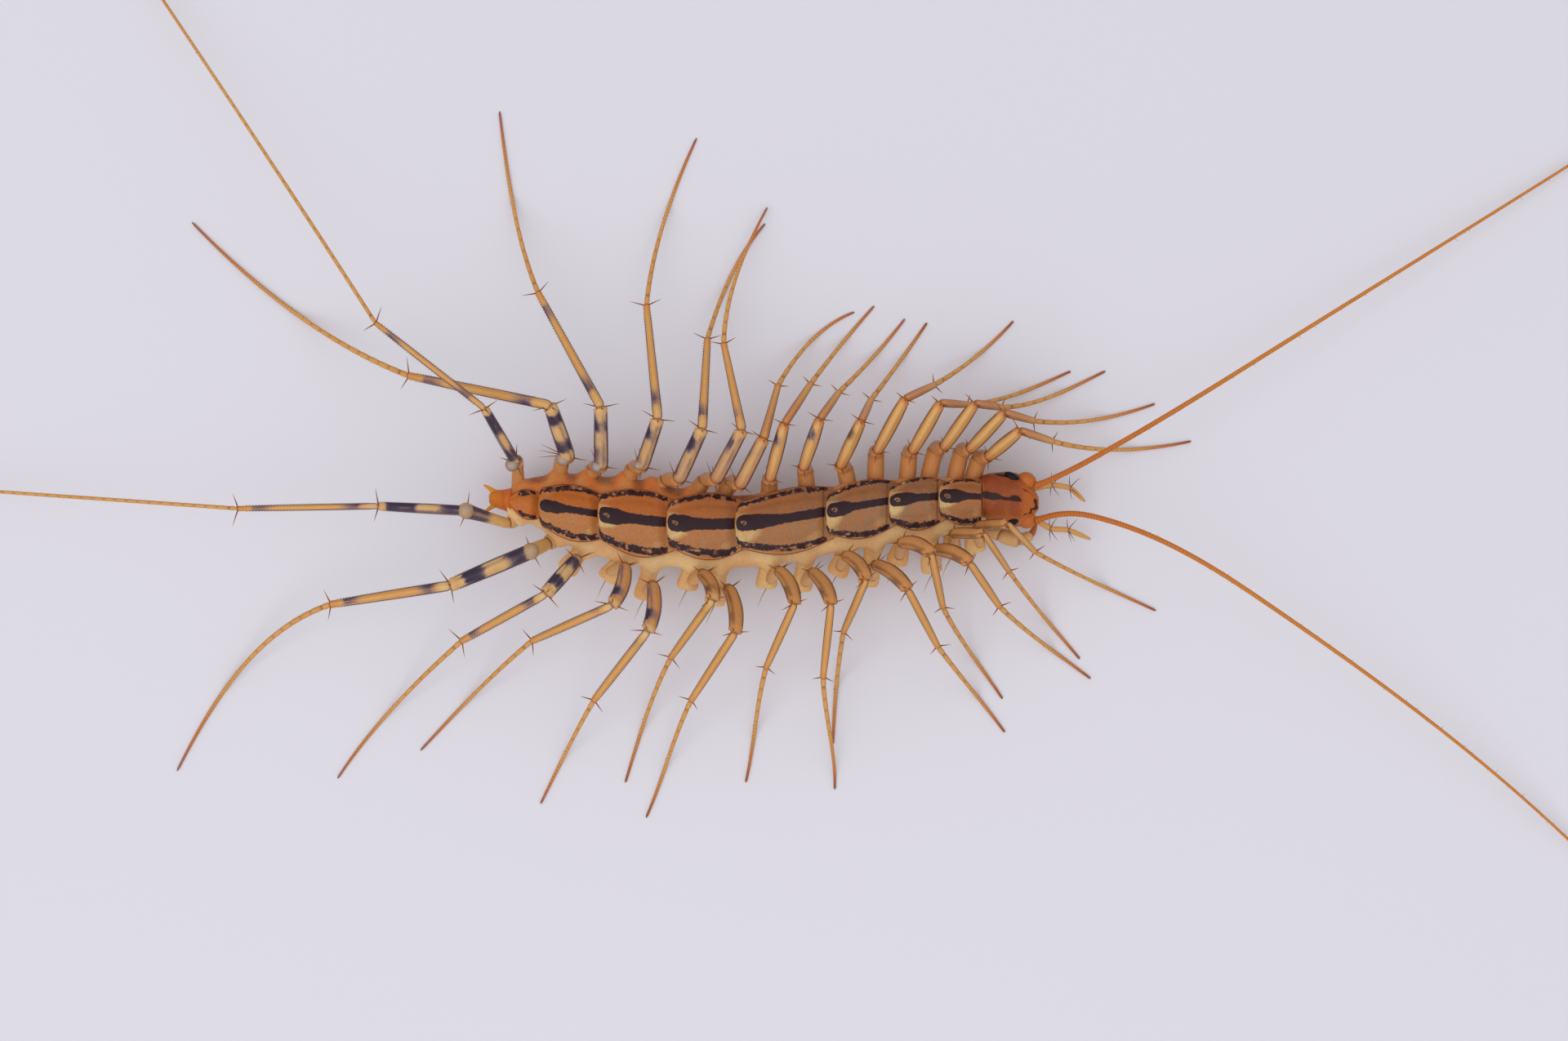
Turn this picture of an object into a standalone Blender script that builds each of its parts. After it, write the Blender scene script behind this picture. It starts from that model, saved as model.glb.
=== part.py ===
"""House centipede, life size, standing on flat ground.

Metres in the model. The sizes below are in millimetres, and MM turns them into metres.
+X is the way the head faces, +Y is the animal's left, +Z is up, and the feet stand at z = 0.
Places in plan are given forward and left of a mark under the fourth back plate.
Headings are degrees in plan, anticlockwise from +X."""

import math
from collections import namedtuple

import bmesh
import bpy
from mathutils import Matrix, Vector

MM = 0.001
GAP = 0.3
NAME = "house_centipede"
SHARP_ANGLE = 50

# The mark's place in the frame, so that the origin is the middle of the footprint
MARK_X = 1.8
MARK_Y = -5.6

# The trunk's gentle bend, as one wave along X whose rear half is the longer
BEND_MEAN = 0.24
BEND_SWING = 0.76
BEND_TROUGH = -1.2
FRONT_WAVE = 26.4
REAR_WAVE = 30.0

# The trunk, seen from the front. It leans to the left, so its right edge is the higher
LEAN = 0.12
BELLY = 1.5
PLEURA_TOP = 2.75
PLATE_EDGE = 3.25
PLATE_THICK = 0.35
PLATE_DOME = 0.38
DOME_POWER = 0.8
LEFT_FLANK = 0.78
RIGHT_FLANK = 0.98
HIP_HEIGHT = 2.3

# How each back plate lies over the front of the next
TUCK = 0.45
NOTCH = 0.72
SHOULDER = 0.9
LEAD = 0.15
REAR_ROUNDING = 0.7

# The back plates from the head to the tail: where each one ends, and its width on either side
HEAD_SEAM = 13.3
Plate = namedtuple("Plate", "rear left right")
PLATES = (
    Plate(11.0, 0.98, 1.60),
    Plate(8.3, 1.12, 1.78),
    Plate(4.9, 1.36, 1.84),
    Plate(0.0, 1.62, 1.98),
    Plate(-3.7, 1.70, 1.96),
    Plate(-7.4, 1.65, 2.04),
    Plate(-10.6, 1.38, 1.70),
    Plate(-12.2, 0.76, 0.92),
)
HIP_SHARES = (0.20, 0.62)
LAST_HIP_SHARE = 0.70
HIP_STUB = 0.4
LAST_STUB = 0.15

# The telson, as a share of its length, half width, top and underside, and its claspers
TELSON_END = -13.3
TELSON_STATIONS = ((0, 0.68, 3.35, 1.8), (0.5, 0.53, 3.1, 1.95), (0.85, 0.38, 2.9, 2.1), (1, 0.22, 2.7, 2.3))
CLASPER = ((0.6, 0.26, 2.6), (0.2, 0.42, 2.55), (-0.05, 0.6, 2.6), (-0.3, 0.74, 2.65))
CLASPER_R = (0.16, 0.16, 0.13, 0.07)

# The head, as stations from the neck to the brow: forward, half width, top, underside
HEAD_STATIONS = (
    (13.45, 1.22, 3.70, 1.80),
    (14.10, 1.36, 3.85, 1.75),
    (14.90, 1.47, 3.80, 1.75),
    (15.50, 1.38, 3.65, 1.85),
    (16.00, 1.08, 3.40, 2.00),
    (16.25, 0.78, 3.15, 2.20),
    (16.45, 0.40, 2.95, 2.45),
)
EYE = Vector((15.0, 1.22, 3.15))
EYE_SIZE = Vector((0.90, 0.46, 0.60))
EYE_TURN = 30

# The poison claws and the palps: forward, left of the midline, up
LEFT_CLAW = ((13.8, 0.7, 1.15), (14.5, 0.98, 1.2), (15.4, 1.12, 1.25), (16.0, 0.95, 1.0), (16.3, 0.5, 0.8))
RIGHT_CLAW = ((13.7, -1.6, 1.15), (14.4, -2.0, 1.4), (15.4, -2.2, 1.6), (16.1, -1.8, 1.3), (16.4, -1.1, 0.9))
CLAW_R = (0.3, 0.36, 0.38, 0.26, 0.10)
PALP_ROOT = 16.1
LEFT_PALP = ((16.15, 0.75, 1.65), (17.2, 0.95, 1.6), (18.2, 0.8, 1.4), (19.0, 0.05, 0.8))
RIGHT_PALP = ((16.15, -0.8, 1.65), (17.1, -1.45, 1.6), (18.1, -1.5, 1.4), (19.3, -2.0, 0.8))
PALP_R = (0.25, 0.25, 0.25, 0.10)

# Radii along a leg, and the least radius that a thin limb keeps short of its tip
COXA_R = 0.38
PREFEMUR_R = 0.35
FEMUR_R = 0.36
SLIM_FEMUR_R = 0.30
KNEE_R = 0.30
LEAST_R = 0.25
TIP_R = 0.10
SIDES = 8

# How far a coxa of the left side reaches past its plate. One of the right side reaches past the
# place under its haunch and steps back from it, by more or less from leg to leg, and the last
# two right ones have a step of their own
COXA_REACH = 0.6
COXA_RISE = 0.15
COXA_OUT = 1.05
COXA_OUT_LESS = 0.06
COXA_BACK = -0.3
COXA_BACK_MORE = 0.1
LAST_COXA = Vector((-0.5, -0.3, 0.15))
LAST_PAIRS = 14

# The right femora between these two legs are plump and bowed forward
PLUMP_LEGS = (3, 12)
PLUMP_R = 0.42
BOW = 0.2

# How high each joint of a leg is held
HAUNCH_LEFT = 3.9
HAUNCH_RIGHT = 4.3
KNEE_LEFT = 5.3
KNEE_RIGHT = 6.2
ANKLE_LEFT = 2.6
ANKLE_RIGHT = 3.4
LANDS = 0.62
FALL_POWER = 1.3
SOLE = 0.7
CORNER = 0.32
CORNER_SHARE = 0.35
TIP_SHARE = 0.35

# A tarsus longer than this is drawn with the finer count of steps
LONG_TARSUS = 20
TARSUS_STEPS = (8, 14)

# One row a leg: where the prefemur ends, then the length and heading of femur and tibia, then
# the tarsus's length and its headings at the start, the middle and the tip. Some rows also have
# their own height of knee or ankle, share where the tarsus lands, or step back to the coxa's end
Leg = namedtuple("Leg", "at femur tibia tarsus knee ankle lands back", defaults=(None,) * 4)
LEFT_LEGS = (
    Leg((13.7, 3.1), (2.2, 40), (1.9, -17), (7.7, -15, 1, 12)),
    Leg((12.7, 3.5), (2.7, 47), (1.7, -14), (6.8, -7, 9, 20)),
    Leg((11.3, 3.6), (2.9, 55), (1.5, -7), (6.1, 2, 22, 26)),
    Leg((9.6, 3.4), (3.0, 60), (1.5, -2), (6.0, 4, 20, 24)),
    Leg((7.7, 3.4), (3.2, 62), (1.8, 26), (5.6, 30, 39, 48)),
    Leg((5.7, 2.6), (2.7, 65), (1.3, 65), (5.2, 52, 54, 56)),
    Leg((3.7, 2.5), (2.8, 71), (1.8, 55), (5.4, 44, 48, 53)),
    Leg((1.9, 1.9), (3.1, 75), (2.6, 57), (5.5, 54, 51, 48)),
    Leg((0.3, 1.6), (2.8, 63), (3.0, 75), (5.9, 60, 46, 20)),
    Leg((-1.0, 1.9), (3.0, 62), (4.8, 102), (7.9, 89, 71, 62), ankle=3.2, lands=1.15),
    Leg((-3.0, 1.9), (3.0, 65), (4.9, 87), (7.1, 74, 65, 48), lands=0.45),
    Leg((-5.0, 2.6), (2.7, 71), (6.2, 96), (9.6, 85, 73, 65), ankle=3.0),
    Leg((-7.2, 2.6), (3.2, 90), (7.1, 119), (10.2, 113, 101, 97), ankle=3.0, lands=0.55),
    Leg((-9.0, 3.1), (2.9, 108), (7.9, 168), (14.7, 159, 144, 134), knee=6.4, ankle=3.4, lands=0.5),
    Leg((-11.8, 2.8), (3.3, 119), (7.5, 142), (35.4, 123, 124, 124), knee=7.0, ankle=5.8, lands=0.8),
)
RIGHT_LEGS = (
    Leg((13.1, -0.65), (1.6, 6), (2.2, -45), (7.4, -29, -25, -25)),
    Leg((11.8, -1.0), (1.6, -1), (2.5, -55), (6.2, -54, -50, -50)),
    Leg((10.9, -1.9), (1.9, -22), (2.9, -55), (6.4, -44, -37, -37)),
    Leg((9.0, -1.5), (1.7, -21), (3.0, -77), (6.0, -63, -55, -57)),
    Leg((7.6, -2.7), (2.2, -38), (3.5, -62), (6.0, -53, -51, -54)),
    Leg((6.0, -2.2), (1.7, -50), (3.1, -113), (6.2, -99, -95, -92), lands=0.5),
    Leg((4.2, -3.1), (2.0, -60), (4.0, -96), (6.2, -88, -81, -92), lands=0.9),
    Leg((2.4, -3.0), (2.0, -65), (3.8, -114), (6.4, -105, -98, -103)),
    Leg((-0.3, -4.0), (2.4, -82), (4.4, -123), (6.9, -116, -109, -114)),
    Leg((-1.7, -3.2), (1.5, -69), (3.9, -126), (7.3, -118, -109, -107)),
    Leg((-4.4, -3.8), (2.5, -96), (4.8, -128), (6.4, -121, -117, -116), back=0.35),
    Leg((-5.9, -2.8), (2.2, -108), (4.8, -156), (8.6, -141, -135, -133)),
    Leg((-8.5, -2.4), (2.5, -131), (5.3, -151), (10.2, -139, -133, -123), ankle=3.2, back=0.5),
    Leg((-11.0, -2.0), (4.7, -157), (6.6, -171), (12.8, -162, -130, -117), knee=5.0, ankle=3.4),
    Leg((-14.5, 0.2), (4.7, 177), (7.6, 181), (35.4, 176, 176, 176), knee=5.2, ankle=4.4, lands=0.8),
)

# Antennae: where each starts, and its stretches as a length and three headings
ANTENNA_ROOT = Vector((16.55, 1.0, 2.9))
ANTENNA_CREST = 4.4
ANTENNA_CREST_SHARE = 0.12
ANTENNA_LANDS = 0.8
ANTENNA_SWELL = 0.03
ANTENNA_TIP_SHARE = 0.1
ANTENNA_STEP = 2.4
LEFT_ANTENNA = ((3.3, 22, 26, 29), (10.0, 29, 31, 32), (36.0, 32, 32, 34))
RIGHT_ANTENNA = ((3.0, 25, 5, -13), (10.0, -13, -27, -34), (36.0, -34, -41, -56))


def midline(x):
    """How far left of the mark the trunk's middle lies at x."""
    wave = FRONT_WAVE if x > BEND_TROUGH else REAR_WAVE
    return BEND_MEAN - BEND_SWING * math.cos(math.tau * (x - BEND_TROUGH) / wave)


def leaning(x, lateral, z):
    """A point of the trunk's section, given left of the midline and up, where the lean puts it."""
    return Vector((x, midline(x) + lateral, z - LEAN * lateral))


def in_frame(x, y, z):
    return Vector((x + MARK_X, y + MARK_Y, z)) * MM


def clear_scene():
    for thing in list(bpy.data.objects):
        bpy.data.objects.remove(thing, do_unlink=True)


def collection(name):
    made = bpy.data.collections.new(name)
    bpy.context.scene.collection.children.link(made)
    return made


def finish(name, colour, roughness):
    material = bpy.data.materials.new(name)
    material.use_nodes = True
    shader = material.node_tree.nodes["Principled BSDF"]
    shader.inputs["Base Color"].default_value = (*colour, 1)
    shader.inputs["Roughness"].default_value = roughness
    shader.inputs["Metallic"].default_value = 0.0
    return material


def add_object(name, mesh, material):
    mesh.materials.clear()
    mesh.materials.append(material)
    thing = bpy.data.objects.new(name, mesh)
    parts.objects.link(thing)
    thing.parent = stance
    mesh.shade_smooth()
    mesh.set_sharp_from_angle(angle=math.radians(SHARP_ANGLE))
    return thing


def loft(name, rings):
    """A closed mesh through rings of equally many points, with a flat cap on each end."""
    shape = bmesh.new()
    rows = [[shape.verts.new(in_frame(*point)) for point in ring] for ring in rings]
    for row, after in zip(rows, rows[1:]):
        for i in range(len(row)):
            j = (i + 1) % len(row)
            shape.faces.new((row[i], row[j], after[j], after[i]))
    shape.faces.new(rows[0][::-1])
    shape.faces.new(rows[-1])
    bmesh.ops.recalc_face_normals(shape, faces=shape.faces)
    mesh = bpy.data.meshes.new(name)
    shape.to_mesh(mesh)
    shape.free()
    return mesh


def tube(name, path, radii):
    """A tapered tube along a path, with welded caps and whatever is under the floor laid flat on it."""
    curve = bpy.data.curves.new(name, "CURVE")
    curve.dimensions = "3D"
    curve.bevel_depth = MM
    curve.bevel_resolution = (SIDES - 4) // 2
    curve.use_fill_caps = True
    spline = curve.splines.new("POLY")
    spline.points.add(len(path) - 1)
    for point, place, radius in zip(spline.points, path, radii):
        point.co = (*in_frame(*place), 1)
        point.radius = radius
    guide = bpy.data.objects.new(name, curve)
    parts.objects.link(guide)
    depsgraph = bpy.context.evaluated_depsgraph_get()
    mesh = bpy.data.meshes.new_from_object(guide.evaluated_get(depsgraph))
    bpy.data.objects.remove(guide)
    bpy.data.curves.remove(curve)
    shape = bmesh.new()
    shape.from_mesh(mesh)
    bmesh.ops.remove_doubles(shape, verts=shape.verts, dist=0.001 * MM)
    for vert in shape.verts:
        vert.co.z = max(vert.co.z, 0)
    shape.to_mesh(mesh)
    shape.free()
    mesh.name = name
    return mesh


def step(point, length, heading, height):
    """The place a length away from a point along a plan heading, at a new height."""
    turn = math.radians(heading)
    return Vector((point[0] + length * math.cos(turn), point[1] + length * math.sin(turn), height))


def stretch(start, length, headings, count):
    """Places in plan along a run that bends through three headings."""
    first, middle, last = headings
    places = [Vector((start[0], start[1], 0))]
    for i in range(count):
        t = (i + 0.5) / count
        heading = first + t * (4 * middle - 3 * first - last) + t * t * 2 * (first - 2 * middle + last)
        places.append(step(places[-1], length / count, heading, 0))
    return places


def cut_corners(path, radii):
    """Each inner corner becomes two points, so that the bend turns in two halves."""
    places, sizes = [path[0]], [radii[0]]
    for before, corner, after, radius in zip(path, path[1:], path[2:], radii[1:]):
        for other in (before, after):
            reach = min(CORNER, CORNER_SHARE * (other - corner).length)
            places.append(corner + (other - corner).normalized() * reach)
            sizes.append(radius)
    return places + [path[-1]], sizes + [radii[-1]]


# Trunk


def plate_front(index):
    return PLATES[index - 1].rear if index else HEAD_SEAM


def widest(index, side):
    """How far a back plate reaches from the midline on its left, side 1, or its right, side -1."""
    return PLATES[index].left if side > 0 else PLATES[index].right


def flank_of(index, side):
    """How far the flank under a back plate reaches from the midline."""
    return widest(index, side) * (LEFT_FLANK if side > 0 else RIGHT_FLANK)


def crown(index, lateral):
    """Height of a back plate's surface at a distance from the midline, before the lean."""
    half = widest(index, lateral)
    arch = max(0.0, 1 - (lateral / half) ** 2) ** DOME_POWER
    return PLATE_EDGE + PLATE_DOME * arch * (PLATES[index].left + PLATES[index].right) / 2


def plate_half(index, share, side):
    """Width of a back plate on one side at a share of its length, from its front to its rear edge."""
    swell = NOTCH + (1 - NOTCH) * math.sin(math.pi * min(1, (share + LEAD) / (SHOULDER + LEAD)))
    past = max(0, share - SHOULDER) / (1 - SHOULDER)
    return widest(index, side) * swell * math.sqrt(1 - REAR_ROUNDING * past**2)


def trunk_side(index, share, side, tucked, plate_only):
    """One side of a section, from the belly's middle round the flank and rim to the plate's top."""
    half = plate_half(index, share, side)
    flank = flank_of(index, side)

    def top(out):
        if not tucked:
            return crown(index, side * out)
        return min(crown(index, side * out), crown(index - 1, side * out)) - PLATE_THICK - GAP

    rim = top(half) - PLATE_THICK
    if plate_only:
        under = [(part * half, top(part * half) - PLATE_THICK) for part in (0, 0.4, 0.7, 0.9, 0.96)]
    else:
        shoulder = min(PLEURA_TOP, rim - 0.3)
        neck = min(half - 0.2, flank)
        under = [(0, BELLY), (0.6 * flank, BELLY), (flank, BELLY + 0.45), (flank, shoulder), (neck, rim)]
    over = [(part * half, top(part * half)) for part in (1, 0.85, 0.5, 0)]
    return [(side * out, z) for out, z in under + [(half, rim)] + over]


def trunk_ring(index, x, share, tucked=False, plate_only=False):
    """One closed section across a segment, up its left side and down its right."""
    left = trunk_side(index, share, 1, tucked, plate_only)
    right = trunk_side(index, share, -1, tucked, plate_only)
    return [leaning(x, lateral, z) for lateral, z in left + right[-2:0:-1]]


def trunk_segment(index, material):
    front, rear = plate_front(index), PLATES[index].rear
    last = index == len(PLATES) - 1
    block_end = rear if last else rear + TUCK + GAP

    def share_at(x):
        return (front - x) / (front - rear)

    rings = []
    if index:
        rings.append(trunk_ring(index, front + TUCK, 0, tucked=True))
        rings.append(trunk_ring(index, front - GAP, 0.02, tucked=True))
        start = front - GAP - 0.25
    else:
        start = front - GAP / 2
    for i in range(4):
        x = start + (block_end - start) * i / 3
        rings.append(trunk_ring(index, x, share_at(x)))
    if not last:
        for x in (block_end, (block_end + 2 * rear) / 3, rear):
            rings.append(trunk_ring(index, x, share_at(x), plate_only=True))
    return add_object(f"segment_{index + 1}", loft(f"segment_{index + 1}", rings), material)


def telson(material):
    """The tail's end: a blunt cone with two small hooked claspers."""
    start = PLATES[-1].rear - GAP
    rings = []
    for share, half, top, under in TELSON_STATIONS:
        rings.append(oval(start + (TELSON_END - start) * share, half, top, under, 12))
    cone = add_object("telson", loft("telson", rings), material)
    claspers = collection("claspers")
    for side in (1, -1):
        path = [Vector((TELSON_END + x, midline(TELSON_END) + side * y, z)) for x, y, z in CLASPER]
        mesh = tube(f"clasper_{side}", path, CLASPER_R)
        claspers.objects.link(bpy.data.objects.new(mesh.name, mesh))
    join(cone, claspers)


def join(thing, pieces):
    """Fuses a collection of closed pieces into a node."""
    union = thing.modifiers.new("fuse", "BOOLEAN")
    union.operation = "UNION"
    union.operand_type = "COLLECTION"
    union.collection = pieces
    depsgraph = bpy.context.evaluated_depsgraph_get()
    fused = bpy.data.meshes.new_from_object(thing.evaluated_get(depsgraph))
    thing.modifiers.clear()
    for piece in list(pieces.objects):
        bpy.data.objects.remove(piece)
    bpy.data.collections.remove(pieces)
    keep_largest(fused)
    thing.data = fused


def keep_largest(mesh):
    """Leaves only the largest closed surface of a fused mesh."""
    shape = bmesh.new()
    shape.from_mesh(mesh)
    unseen, surfaces = set(shape.verts), []
    while unseen:
        edge, found = [unseen.pop()], set()
        while edge:
            vert = edge.pop()
            found.add(vert)
            near = {link.other_vert(vert) for link in vert.link_edges} & unseen
            unseen -= near
            edge += near
        surfaces.append(found)
    largest = max(surfaces, key=len)
    bmesh.ops.delete(shape, geom=[vert for vert in shape.verts if vert not in largest], context="VERTS")
    shape.to_mesh(mesh)
    shape.free()


# Head


def oval(x, half, top, under, count):
    """A rounded section across the body, flatter below than above."""
    middle, tall = (top + under) / 2, (top - under) / 2
    ring = []
    for i in range(count):
        turn = math.tau * i / count - math.pi / 2
        lateral = half * math.copysign(abs(math.cos(turn)) ** 0.85, math.cos(turn))
        ring.append((x, midline(x) + lateral, middle + tall * math.sin(turn)))
    return ring


def ball(name, place, size, turn):
    mesh = bpy.data.meshes.new(name)
    shape = bmesh.new()
    bmesh.ops.create_uvsphere(shape, u_segments=12, v_segments=8, radius=0.5)
    spin = Matrix.Rotation(math.radians(turn), 4, "Z")
    bmesh.ops.transform(shape, verts=shape.verts, matrix=spin @ Matrix.Diagonal((*size * MM, 1)))
    bmesh.ops.translate(shape, verts=shape.verts, vec=in_frame(*place))
    shape.to_mesh(mesh)
    shape.free()
    return mesh


def head(skin, eye_finish):
    rings = [oval(x, half, top, under, 16) for x, half, top, under in HEAD_STATIONS]
    capsule = add_object("head", loft("head", rings), skin)
    for side, word in ((1, "left"), (-1, "right")):
        place = Vector((EYE.x, midline(EYE.x) + side * EYE.y, EYE.z))
        turn = -side * EYE_TURN
        add_object(f"eye_{word}", ball(f"eye_{word}", place, EYE_SIZE, turn), eye_finish)
        bowl = EYE_SIZE + Vector((GAP, GAP, GAP)) * 2
        tool = bpy.data.objects.new(f"socket_{word}", ball(f"socket_{word}", place, bowl, turn))
        cutters.objects.link(tool)
        tool.parent = stance
        tool.hide_render = True
        tool.display_type = "WIRE"
        cut = capsule.modifiers.new(f"socket_{word}", "BOOLEAN")
        cut.operation = "DIFFERENCE"
        cut.object = tool


def antenna(word, side, stretches, material):
    root = Vector((ANTENNA_ROOT.x, midline(ANTENNA_ROOT.x) + side * ANTENNA_ROOT.y, 0))
    plan = [root]
    for length, *headings in stretches:
        count = max(3, round(length / ANTENNA_STEP))
        plan += stretch(plan[-1], length, headings, count)[1:]
    total = sum(length for length, *_ in stretches)
    path, radii, gone = [], [], 0.0
    for before, place in zip([root] + plan, plan):
        gone += (place - before).length
        share = gone / total
        taper = (LEAST_R - TIP_R) * max(0, share - 1 + ANTENNA_TIP_SHARE) / ANTENNA_TIP_SHARE
        radius = LEAST_R + ANTENNA_SWELL * (1 - share) - taper
        climb = math.sin(min(1, share / ANTENNA_CREST_SHARE) * math.pi / 2)
        sunk = max(0, share - ANTENNA_CREST_SHARE) / (ANTENNA_LANDS - ANTENNA_CREST_SHARE)
        held = ANTENNA_ROOT.z + (ANTENNA_CREST - ANTENNA_ROOT.z) * climb
        path.append(Vector((place.x, place.y, resting(held, sunk, radius))))
        radii.append(radius)
    add_object(f"antenna_{word}", tube(f"antenna_{word}", path, radii), material)


def resting(height, share, radius):
    """The height of a limb that sinks to the floor, and lies on it from share 1 on."""
    held = max(0.0, 1 - share) ** FALL_POWER
    return height * held + SOLE * radius * (1 - held)


def mouthparts(claw_finish, palp_finish):
    """The curved poison claws under the head, and the slender palps in front of them."""
    for word, claw, palp in (("left", LEFT_CLAW, LEFT_PALP), ("right", RIGHT_CLAW, RIGHT_PALP)):
        path = [Vector((x, midline(x) + lateral, z)) for x, lateral, z in claw]
        path, radii = cut_corners(path, CLAW_R)
        add_object(f"forcipule_{word}", tube(f"forcipule_{word}", path, radii), claw_finish)
        path = [Vector((x, midline(PALP_ROOT) + lateral, z)) for x, lateral, z in palp]
        path, radii = cut_corners(path, PALP_R)
        add_object(f"palp_{word}", tube(f"palp_{word}", path, radii), palp_finish)


# Legs


def hip(number, side):
    """Where a leg's coxa starts beside its trunk segment, and the index of that segment."""
    index, spot = divmod(number - 1, 2)
    front, rear = plate_front(index), PLATES[index].rear
    share = HIP_SHARES[spot] if number < LAST_PAIRS else LAST_HIP_SHARE
    x = front + (rear - front) * share
    return leaning(x, side * (flank_of(index, side) + GAP), HIP_HEIGHT), index


def coxa_end(number, side, leg, root, index):
    """The low bend between coxa and prefemur, clear of the plate's rim above it."""
    x, y = leg.at
    if side > 0:
        out = max(abs(y - midline(x)), PLATES[index].left + COXA_REACH)
        low = leaning(x, out, HIP_HEIGHT + COXA_RISE)
        return Vector(((x + root.x) / 2, low.y, low.z))
    if number >= LAST_PAIRS:
        return root + LAST_COXA
    back = COXA_BACK + COXA_BACK_MORE * number if leg.back is None else leg.back
    return Vector((x - back, y - COXA_OUT + COXA_OUT_LESS * number, HIP_HEIGHT))


def leg_path(number, side, leg):
    """The bends of one leg from its hip to its foot's tip, with the radius at each."""
    root, index = hip(number, side)
    stub = root + Vector((0, side * (LAST_STUB if side < 0 and number >= LAST_PAIRS else HIP_STUB), 0))
    haunch = Vector((*leg.at, HAUNCH_LEFT if side > 0 else HAUNCH_RIGHT))
    knee = step(haunch, *leg.femur, leg.knee or (KNEE_LEFT if side > 0 else KNEE_RIGHT))
    ankle = step(knee, *leg.tibia, leg.ankle or (ANKLE_LEFT if side > 0 else ANKLE_RIGHT))
    foot, foot_radii = tarsus(leg, ankle)
    corners = [root, stub, coxa_end(number, side, leg, root, index), haunch, knee, ankle, foot[0]]
    thick = (COXA_R, COXA_R, COXA_R, PREFEMUR_R, KNEE_R, LEAST_R, LEAST_R)
    path, radii = cut_corners(corners, thick)
    middle, girth = (haunch + knee) / 2, FEMUR_R
    if number == 15:
        girth = SLIM_FEMUR_R
    elif number == 14:
        girth = PLUMP_R
    elif side < 0 and PLUMP_LEGS[0] <= number <= PLUMP_LEGS[1]:
        girth = PLUMP_R
        middle += Vector((0, 0, 1)).cross(knee - haunch).normalized() * BOW
    knee_at = 2 * corners.index(knee) - 1
    path.insert(knee_at, middle)
    radii.insert(knee_at, girth)
    return path + foot[1:], radii + foot_radii[1:]


def tarsus(leg, ankle):
    """The tarsus falls from the ankle, lands a share of its length on, and lies flat out to its tip."""
    length, *headings = leg.tarsus
    count = TARSUS_STEPS[length > LONG_TARSUS]
    path, radii = [], []
    for i, place in enumerate(stretch(ankle, length, headings, count)[1:], 1):
        share = i / count
        radius = TIP_R + (LEAST_R - TIP_R) * min(1, (1 - share) / TIP_SHARE)
        path.append(Vector((place.x, place.y, resting(ankle.z, share / (leg.lands or LANDS), radius))))
        radii.append(radius)
    return path, radii


def legs(finishes):
    for side, word, rows in ((1, "left", LEFT_LEGS), (-1, "right", RIGHT_LEGS)):
        for number, row in enumerate(rows, 1):
            name = f"leg_{word}_{number}"
            path, radii = leg_path(number, side, row)
            add_object(name, tube(name, path, radii), finishes[number > 8])


clear_scene()
parts = collection(NAME)
cutters = collection("cutters")
stance = bpy.data.objects.new("stance", None)
parts.objects.link(stance)

plate_finish = finish("back_plate", (0.42, 0.19, 0.06), 0.4)
for plate_index in range(len(PLATES)):
    trunk_segment(plate_index, plate_finish)
telson(finish("telson", (0.60, 0.20, 0.03), 0.4))
head(finish("head_capsule", (0.38, 0.13, 0.03), 0.35), finish("eye", (0.01, 0.01, 0.015), 0.15))
antenna_finish = finish("antenna", (0.50, 0.20, 0.05), 0.45)
antenna("left", 1, LEFT_ANTENNA, antenna_finish)
antenna("right", -1, RIGHT_ANTENNA, antenna_finish)
mouthparts(finish("forcipule", (0.65, 0.38, 0.13), 0.35), finish("palp", (0.60, 0.40, 0.18), 0.45))
legs((finish("front_leg", (0.52, 0.30, 0.12), 0.45), finish("rear_leg", (0.50, 0.27, 0.09), 0.45)))
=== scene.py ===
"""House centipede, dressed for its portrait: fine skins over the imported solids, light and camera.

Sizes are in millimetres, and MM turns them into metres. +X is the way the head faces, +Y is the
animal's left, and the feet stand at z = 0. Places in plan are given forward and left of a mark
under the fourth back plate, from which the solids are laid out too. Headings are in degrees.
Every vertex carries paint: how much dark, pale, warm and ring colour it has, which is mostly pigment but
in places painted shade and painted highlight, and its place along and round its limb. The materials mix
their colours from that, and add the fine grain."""

import math
import random
from collections import namedtuple

import bpy
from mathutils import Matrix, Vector, noise


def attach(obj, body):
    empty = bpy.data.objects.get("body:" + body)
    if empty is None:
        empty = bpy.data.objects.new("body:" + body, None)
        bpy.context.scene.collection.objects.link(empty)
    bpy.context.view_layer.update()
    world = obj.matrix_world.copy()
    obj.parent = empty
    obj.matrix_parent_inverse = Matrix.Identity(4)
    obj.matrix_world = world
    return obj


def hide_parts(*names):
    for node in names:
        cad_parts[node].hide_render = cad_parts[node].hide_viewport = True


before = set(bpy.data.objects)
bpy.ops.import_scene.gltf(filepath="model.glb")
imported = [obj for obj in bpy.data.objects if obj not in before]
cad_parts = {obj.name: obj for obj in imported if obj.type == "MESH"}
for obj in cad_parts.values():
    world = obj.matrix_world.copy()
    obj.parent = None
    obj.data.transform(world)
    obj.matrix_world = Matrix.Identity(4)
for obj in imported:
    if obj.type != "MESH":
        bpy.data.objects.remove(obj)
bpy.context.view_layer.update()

MM = 0.001
UP = Vector((0, 0, 1))
MARK_X = 1.8
MARK_Y = -5.6

# The trunk's bend, lean and heights, as the solids have them
BEND_MEAN = 0.24
BEND_SWING = 0.76
BEND_TROUGH = -1.2
FRONT_WAVE = 26.4
REAR_WAVE = 30.0
LEAN = 0.12
BELLY = 1.5
PLATE_EDGE = 3.25
PLATE_DOME = 0.38
DOME_POWER = 0.8
LEFT_FLANK = 0.78
RIGHT_FLANK = 0.98
HIP_HEIGHT = 2.3
HIP_SHARES = (0.20, 0.62)
LAST_HIP_SHARE = 0.70
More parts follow.
